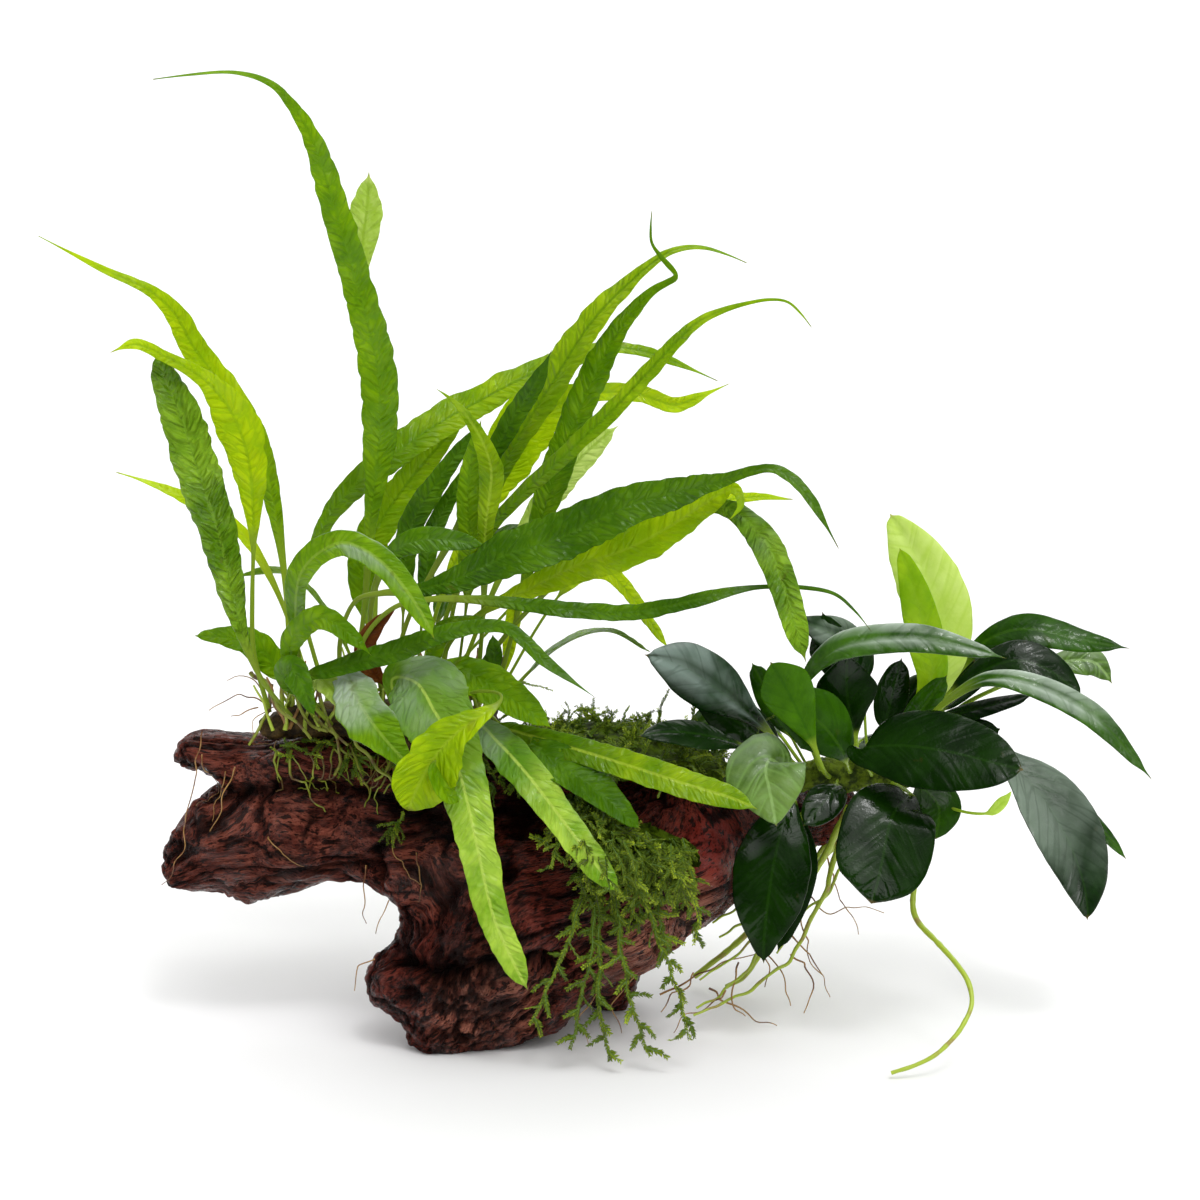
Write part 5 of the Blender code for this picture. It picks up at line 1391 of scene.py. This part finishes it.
RHIZOMES = (
    ("fern", rhizome_material("fern_rhizome_skin", (0.014, 0.008, 0.003), (0.09, 0.055, 0.014))),
    ("anubias", rhizome_material("anubias_rhizome_skin", (0.02, 0.035, 0.004), (0.13, 0.19, 0.012), 0.06)),
)
for plant, material in RHIZOMES:
    mesh = joined_copy([plant + "_rhizome"], 1.0, plant)
    smoothed(mesh, 3)
    place = points_of(mesh) / MM
    lift = 1.5 * noise_at(place, 6, 2) + 1.6 * np.abs(noise_at(place, 2.8, 7)) - 1.0
    set_points(mesh, (place + normals_of(mesh) * lift[:, None]) * MM)
    finished(mesh, plant + "_stem", material, "rhizome", plant + "_rhizome")

dice = np.random.default_rng(11)
stumps = []
for _ in range(90):
    foot = np.array([dice.uniform(-98, -32), dice.uniform(-13, 20), 96])
    height = dice.uniform(5, 20)
    lean = dice.normal(0, 0.35, 2)
    path = [foot + (lean[0] * t * height, lean[1] * t * height - 2 * t * t, t * height) for t in (0, 0.35,
        0.7, 1)]
    stumps.append(thread(path, dice.uniform(0.5, 0.95), 0.3, 0.8, dice.uniform(0, 99), 1.5))
thread_piece(stumps[:60], "green_stumps", GREEN_ROOT, "rhizome", sides=1)
thread_piece(stumps[60:], "brown_stumps", BROWN_ROOT, "rhizome", sides=1)

# %% [markdown]
# ## The moss
#
# A moss shoot is a thread with two rows of pointed leaflets. One leaflet is a flattened eight-faced bead;
# an array makes thousands of it, and each copy is then moved to its place beside a shoot. The shoots grow
# out of the solid moss, which stays underneath as a dark mat: old stems, and painted shade in the gaps
# between the shoots.


# %% Leaflets along shoots
LEAFLET_STEP = 0.50


def leaflet_copies(count, name):
    """Copies of one bead with 6 points, as one mesh."""
    bm = bmesh.new()
    bmesh.ops.create_uvsphere(bm, u_segments=4, v_segments=2, radius=1)
    mesh = bpy.data.meshes.new(name)
    bm.to_mesh(mesh)
    bm.free()
    helper = bpy.data.objects.new(name, mesh)
    bpy.context.scene.collection.objects.link(helper)
    array = helper.modifiers.new("many", "ARRAY")
    array.count = count
    graph = bpy.context.evaluated_depsgraph_get()
    copies = bpy.data.meshes.new_from_object(helper.evaluated_get(graph))
    bpy.data.objects.remove(helper)
    return copies, points_of(mesh)


def leaflet_piece(shoots, name, material, slot, dice, size=1.6, *nodes):
    """Leaflets in two rows along each shoot, a path of points in mm."""
    starts, aheads, sides, shares, tones = [], [], [], [], []
    for path in shoots:
        reached = lengths_along(path)
        count = max(3, int(reached[-1] / LEAFLET_STEP))
        stops = np.linspace(0.3, reached[-1], count)
        place = np.stack([np.interp(stops, reached, path[:, k]) for k in range(3)], axis=1)
        along = tangents_of(place)
        flat = np.cross(along, dice.normal(0, 1, 3) + (0, -1.5, 0.5))
        flat /= np.linalg.norm(flat, axis=1)[:, None] + 1e-6
        tone = dice.random() ** 0.45
        for hand in (-1, 1):
            tones.append(np.full(count, tone))
            starts.append(place)
            aheads.append(along)
            sides.append(hand * flat)
            shares.append(stops / reached[-1])
    start, ahead, side = (np.concatenate(part) for part in (starts, aheads, sides))
    share = np.concatenate(shares)
    count = len(start)
    lean = dice.uniform(0.8, 1.5, count)[:, None]
    out = ahead * lean + side + dice.normal(0, 0.22, (count, 3))
    out /= np.linalg.norm(out, axis=1)[:, None]
    face = np.cross(out, ahead + dice.normal(0, 0.2, (count, 3)))
    face /= np.linalg.norm(face, axis=1)[:, None]
    wide = np.cross(face, out)
    length = size * dice.uniform(0.75, 1.2, count) * (1 - 0.45 * share)
    mesh, bead = leaflet_copies(count, name)
    along_bead = np.select([bead[:, 0] > 0.5, bead[:, 0] < -0.5], [1.0, 0.0], 0.35)
    points = (
        start[:, None] + out[:, None] * (length[:, None] * along_bead)[..., None]
        + wide[:, None] * (length[:, None] * 0.24 * bead[:, 1])[..., None]
        + face[:, None] * (0.07 * bead[:, 2])[None, :, None]
    )
    points[..., 2] = np.maximum(points[..., 2], 0.15)
    set_points(mesh, points.reshape(-1, 3) * MM)
    looks = np.stack([share, 0.7 * np.concatenate(tones) + 0.3 * dice.random(count), share * 0], axis=1)
    set_attribute(mesh, "tuft", np.repeat(looks, 6, axis=0))
    return finished(mesh, name, material, slot, *nodes)


def growing(dice, start, heading, length, droop, gap=0.7):
    """A moss shoot's path: it wanders, droops and stays outside the wood."""
    heading = np.array(heading, float)
    steps = max(3, int(length / 1.5))
    points = [np.array(start, float)]
    for _ in range(steps):
        heading /= np.linalg.norm(heading)
        heading += dice.normal(0, 0.17, 3) + (0, 0, -droop)
        heading /= np.linalg.norm(heading)
        points.append(out_of_wood(points[-1] + heading * (length / steps), gap))
    path = smooth_run(np.array(points), 2)
    return np.maximum(path, (-999, -57, 0.4))


def side_shoots(dice, path, spacing, length):
    """Short shoots on both sides of a long one."""
    reached = lengths_along(path)
    made = []
    for number, stop in enumerate(np.arange(spacing, reached[-1] - 1, spacing)):
        index = int(np.searchsorted(reached, stop))
        along = path[min(index + 1, len(path) - 1)] - path[index - 1]
        along /= np.linalg.norm(along)
        sideways = np.cross(along, (0, -1, 0.2)) * (1 if number % 2 else -1)
        heading = along * 0.8 + sideways + dice.normal(0, 0.25, 3)
        made.append(growing(dice, path[index], heading, length * dice.uniform(0.6, 1.2), 0.03))
    return made


# %% Moss green
def moss_material():
    material, tree, shader, output = new_material("moss_green")
    looks = add(tree, "SeparateXYZ", {0: attribute(tree, "tuft").outputs["Vector"]}).outputs
    colour = blend(tree, looks["X"], (0.170, 0.270, 0.008), (0.560, 0.700, 0.040))
    shade = stretch(tree, looks["Y"], 0.25, 0.8, 0.0, 0.85)
    colour = blend(tree, shade, colour, (0.085, 0.150, 0.006))
    tree.links.new(colour, shader.inputs["Base Color"])
    shader.inputs["Roughness"].default_value = 0.45
    shader.inputs["Specular IOR Level"].default_value = 0.3
    through = add(tree, "BsdfTranslucent", {"Color": colour})
    mixed = add(tree, "MixShader", {0: 0.3, 1: shader.outputs[0], 2: through.outputs[0]})
    tree.links.new(mixed.outputs[0], output.inputs["Surface"])
    return material


MOSS_GREEN = moss_material()
# Dark mat under the shoots: partly old stems, partly painted shade in the gaps.
MOSS_DARK = rhizome_material("moss_thatch_and_shade", (0.012, 0.020, 0.001), (0.065, 0.110, 0.003), 0.04)
MOSS_STEM = thread_material("moss_stem", (0.10, 0.20, 0.02), (0.05, 0.06, 0.01), 0.4)


def stems_of(shoots, name, radius=0.16):
    paths = [np.column_stack([path[::2], np.linspace(radius, radius * 0.5,
        len(path[::2]))]) for path in shoots]
    thread_piece(paths, name, MOSS_STEM, "moss", sides=0)


def thatch_and_shade(node, name, sink):
    """The solid moss as a ragged dark mat, a little smaller than the solid: old stems, and painted shade in
    the gaps between the shoots.
    """
    mesh = joined_copy([node], 1.1, name)
    smoothed(mesh, 2)
    place = points_of(mesh) / MM
    lift = 1.3 * noise_at(place, 5, 3) + 0.8 * noise_at(place, 2.2, 6) - sink
    set_points(mesh, (place + normals_of(mesh) * lift[:, None]) * MM)
    finished(mesh, name, MOSS_DARK, "moss", node)


def surface_of(*objects):
    """The objects' faces, to be searched for the nearest place or the first one that a ray meets."""
    bm = bmesh.new()
    for obj in objects:
        bm.from_mesh(obj.data)
    surface = BVHTree.FromBMesh(bm)
    bm.free()
    return surface


FRONT_FRONDS = ("front_long", "front_right", "front_bright", "lime_right", "mid_right", "lime_twisted")
FROND_TREE = surface_of(*(bpy.data.objects[name + "_frond"] for name in FRONT_FRONDS))


def behind_fronds(path):
    """Whether the whole path stays behind the fronds in front and clear of them."""
    for point in path:
        spot = Vector(point) * MM
        if FROND_TREE.find_nearest(spot, 2.6 * MM)[0] is not None:
            return False
        if FROND_TREE.ray_cast(spot, Vector((0, 0.98, -0.2)), 40 * MM)[0] is not None:
            return False
    return True


# %% The pad on top
dice = np.random.default_rng(21)
thatch_and_shade("moss_mat", "mat_thatch_and_shade", 1.5)
mat_tree = surface_of(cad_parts["moss_mat"])
mat_shoots = []
while len(mat_shoots) < 330:
    x, y = dice.uniform(-35, 44), dice.uniform(-34, 22)
    hit, normal, _, _ = mat_tree.ray_cast(Vector((x, y, 120)) * MM, Vector((0, 0, -1)))
    if hit is None:
        continue
    heading = np.array(normal) * 0.35 + dice.normal(0, 0.6, 3) + (0.1, -0.30, 0)
    start = np.array(hit) / MM - np.array(normal) * 1.5
    mat_shoots.append(growing(dice, start, heading, dice.uniform(4, 8), 0.14))
mat_branches = [twig for shoot in mat_shoots[:200] for twig in side_shoots(dice, shoot, 3.4, 3.0)]
mat_shown = [path for path in mat_shoots + mat_branches if behind_fronds(path)]
leaflet_piece(mat_shown, "mat_moss", MOSS_GREEN, "moss", dice, 1.6)
stems_of(mat_shoots, "mat_moss_stems")

# %% The apron down the front
dice = np.random.default_rng(22)
thatch_and_shade("moss_apron", "apron_thatch_and_shade", 4.5)
apron_tree = surface_of(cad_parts["moss_apron"])
apron_shoots = []
while len(apron_shoots) < 80:
    x, z = dice.uniform(-9, 25), dice.uniform(56, 90)
    hit, normal, _, _ = apron_tree.ray_cast(Vector((x, -90, z)) * MM, Vector((0, 1, 0)))
    if hit is None:
        continue
    heading = np.array((0.15, -0.45, -0.80)) + dice.normal(0, 0.48, 3)
    apron_shoots.append(growing(dice, np.array(hit) / MM + (0, 1.5, 0), heading, dice.uniform(7, 17), 0.05))
apron_branches = [twig for shoot in apron_shoots for twig in side_shoots(dice, shoot, 3.6, 4.5)]
apron_shown = [path for path in apron_shoots + apron_branches if behind_fronds(path)]
leaflet_piece(apron_shown, "apron_moss", MOSS_GREEN, "moss", dice, 1.9)
stems_of(apron_shown, "apron_moss_stems")

# %% The beard that reaches the floor
# Five ropes fan out down to the floor, and short ones fill the fan's upper end.
BEARD_LEFT, BEARD_RIGHT = np.array((-5, -34, 66.0)), np.array((26, -31, 68.0))
FAN_LEFT, FAN_RIGHT = np.array((-19, -48, 16.0)), np.array((28, -48, 11.0))


def rope(start, end, bow, seed):
    """A hanging shoot that bows sideways in the middle and stands off the wood."""
    share = np.linspace(0, 1, 8)[:, None]
    line = start + (end - start) * share + (bow, -4, 0) * np.sin(math.pi * share)
    return thread(line, 0.3, 0.15, 0.9, seed)[:, :3]


dice = np.random.default_rng(23)
beard_shoots = []
for number, share in enumerate(np.linspace(0, 1, 5)):
    start = BEARD_LEFT + (BEARD_RIGHT - BEARD_LEFT) * (0.15 + 0.30 * share)
    end = FAN_LEFT + (FAN_RIGHT - FAN_LEFT) * share - (0, 0, 9 * math.sin(math.pi * share))
    beard_shoots.append(rope(start, end, dice.uniform(-5, 5), 80 + number))
for number, share in enumerate(np.linspace(0, 1, 9)):
    start = BEARD_LEFT + (BEARD_RIGHT - BEARD_LEFT) * share
    end = start + (dice.uniform(-5, 6), -7, -dice.uniform(12, 34))
    beard_shoots.append(rope(start, end, dice.uniform(-2, 2), 90 + number))
beard_branches = [twig for shoot in beard_shoots for twig in side_shoots(dice, shoot, 4.2, 6.0)]
leaflet_piece(beard_shoots + beard_branches, "beard_moss", MOSS_GREEN, "moss", dice, 2.0, "moss_beard")
stems_of(beard_shoots + beard_branches, "beard_moss_stems", 0.22)

# %% Tufts under the fern
dice = np.random.default_rng(24)
tufts = []
for _ in range(60):
    start = on_wood((dice.uniform(-96, -28), dice.uniform(-20, -6), dice.uniform(84, 99)), 0.5)
    tufts.append(growing(dice, start, dice.normal(0, 0.7, 3) + (0.1, -0.8, 0.1), dice.uniform(4, 10), 0.10))
for start in ((-59, -20, 71), (-61, -20, 68), (-75, -18, 90), (-72, -18, 92), (-30, -24, 82), (-24, -24, 84)):
    for _ in range(5):
        tufts.append(growing(dice, on_wood(start, 0.5), dice.normal(0, 0.6, 3) + (0, -0.5, -0.4), 6, 0.08))
for stations in (((18, -12, 95), (20, -13, 104), (22, -14, 109)),
    ((29, -14, 95), (31, -14, 106), (42, -14, 108)),
                 ((-29, -12, 106), (-22, -13, 111), (-13, -14, 109)),
                 ((-32, -14, 98), (-22, -14, 103), (-16, -14, 102)),
                 ((-10, -8, 94), (-6, -10, 101), (1, -12, 103)),
                 ((48, -10, 90), (50, -12, 98), (54, -13, 101))):
    tufts.append(thread(stations, 0.3, 0.15, 0.6, len(tufts))[:, :3])
tufts = [path for path in tufts if behind_fronds(path)]
leaflet_piece(tufts, "fern_moss_tufts", MOSS_GREEN, "moss", dice, 1.4)
stems_of(tufts, "fern_moss_tuft_stems")
print("moss shoots:", len(mat_shoots), len(apron_shoots), len(beard_shoots), len(tufts))
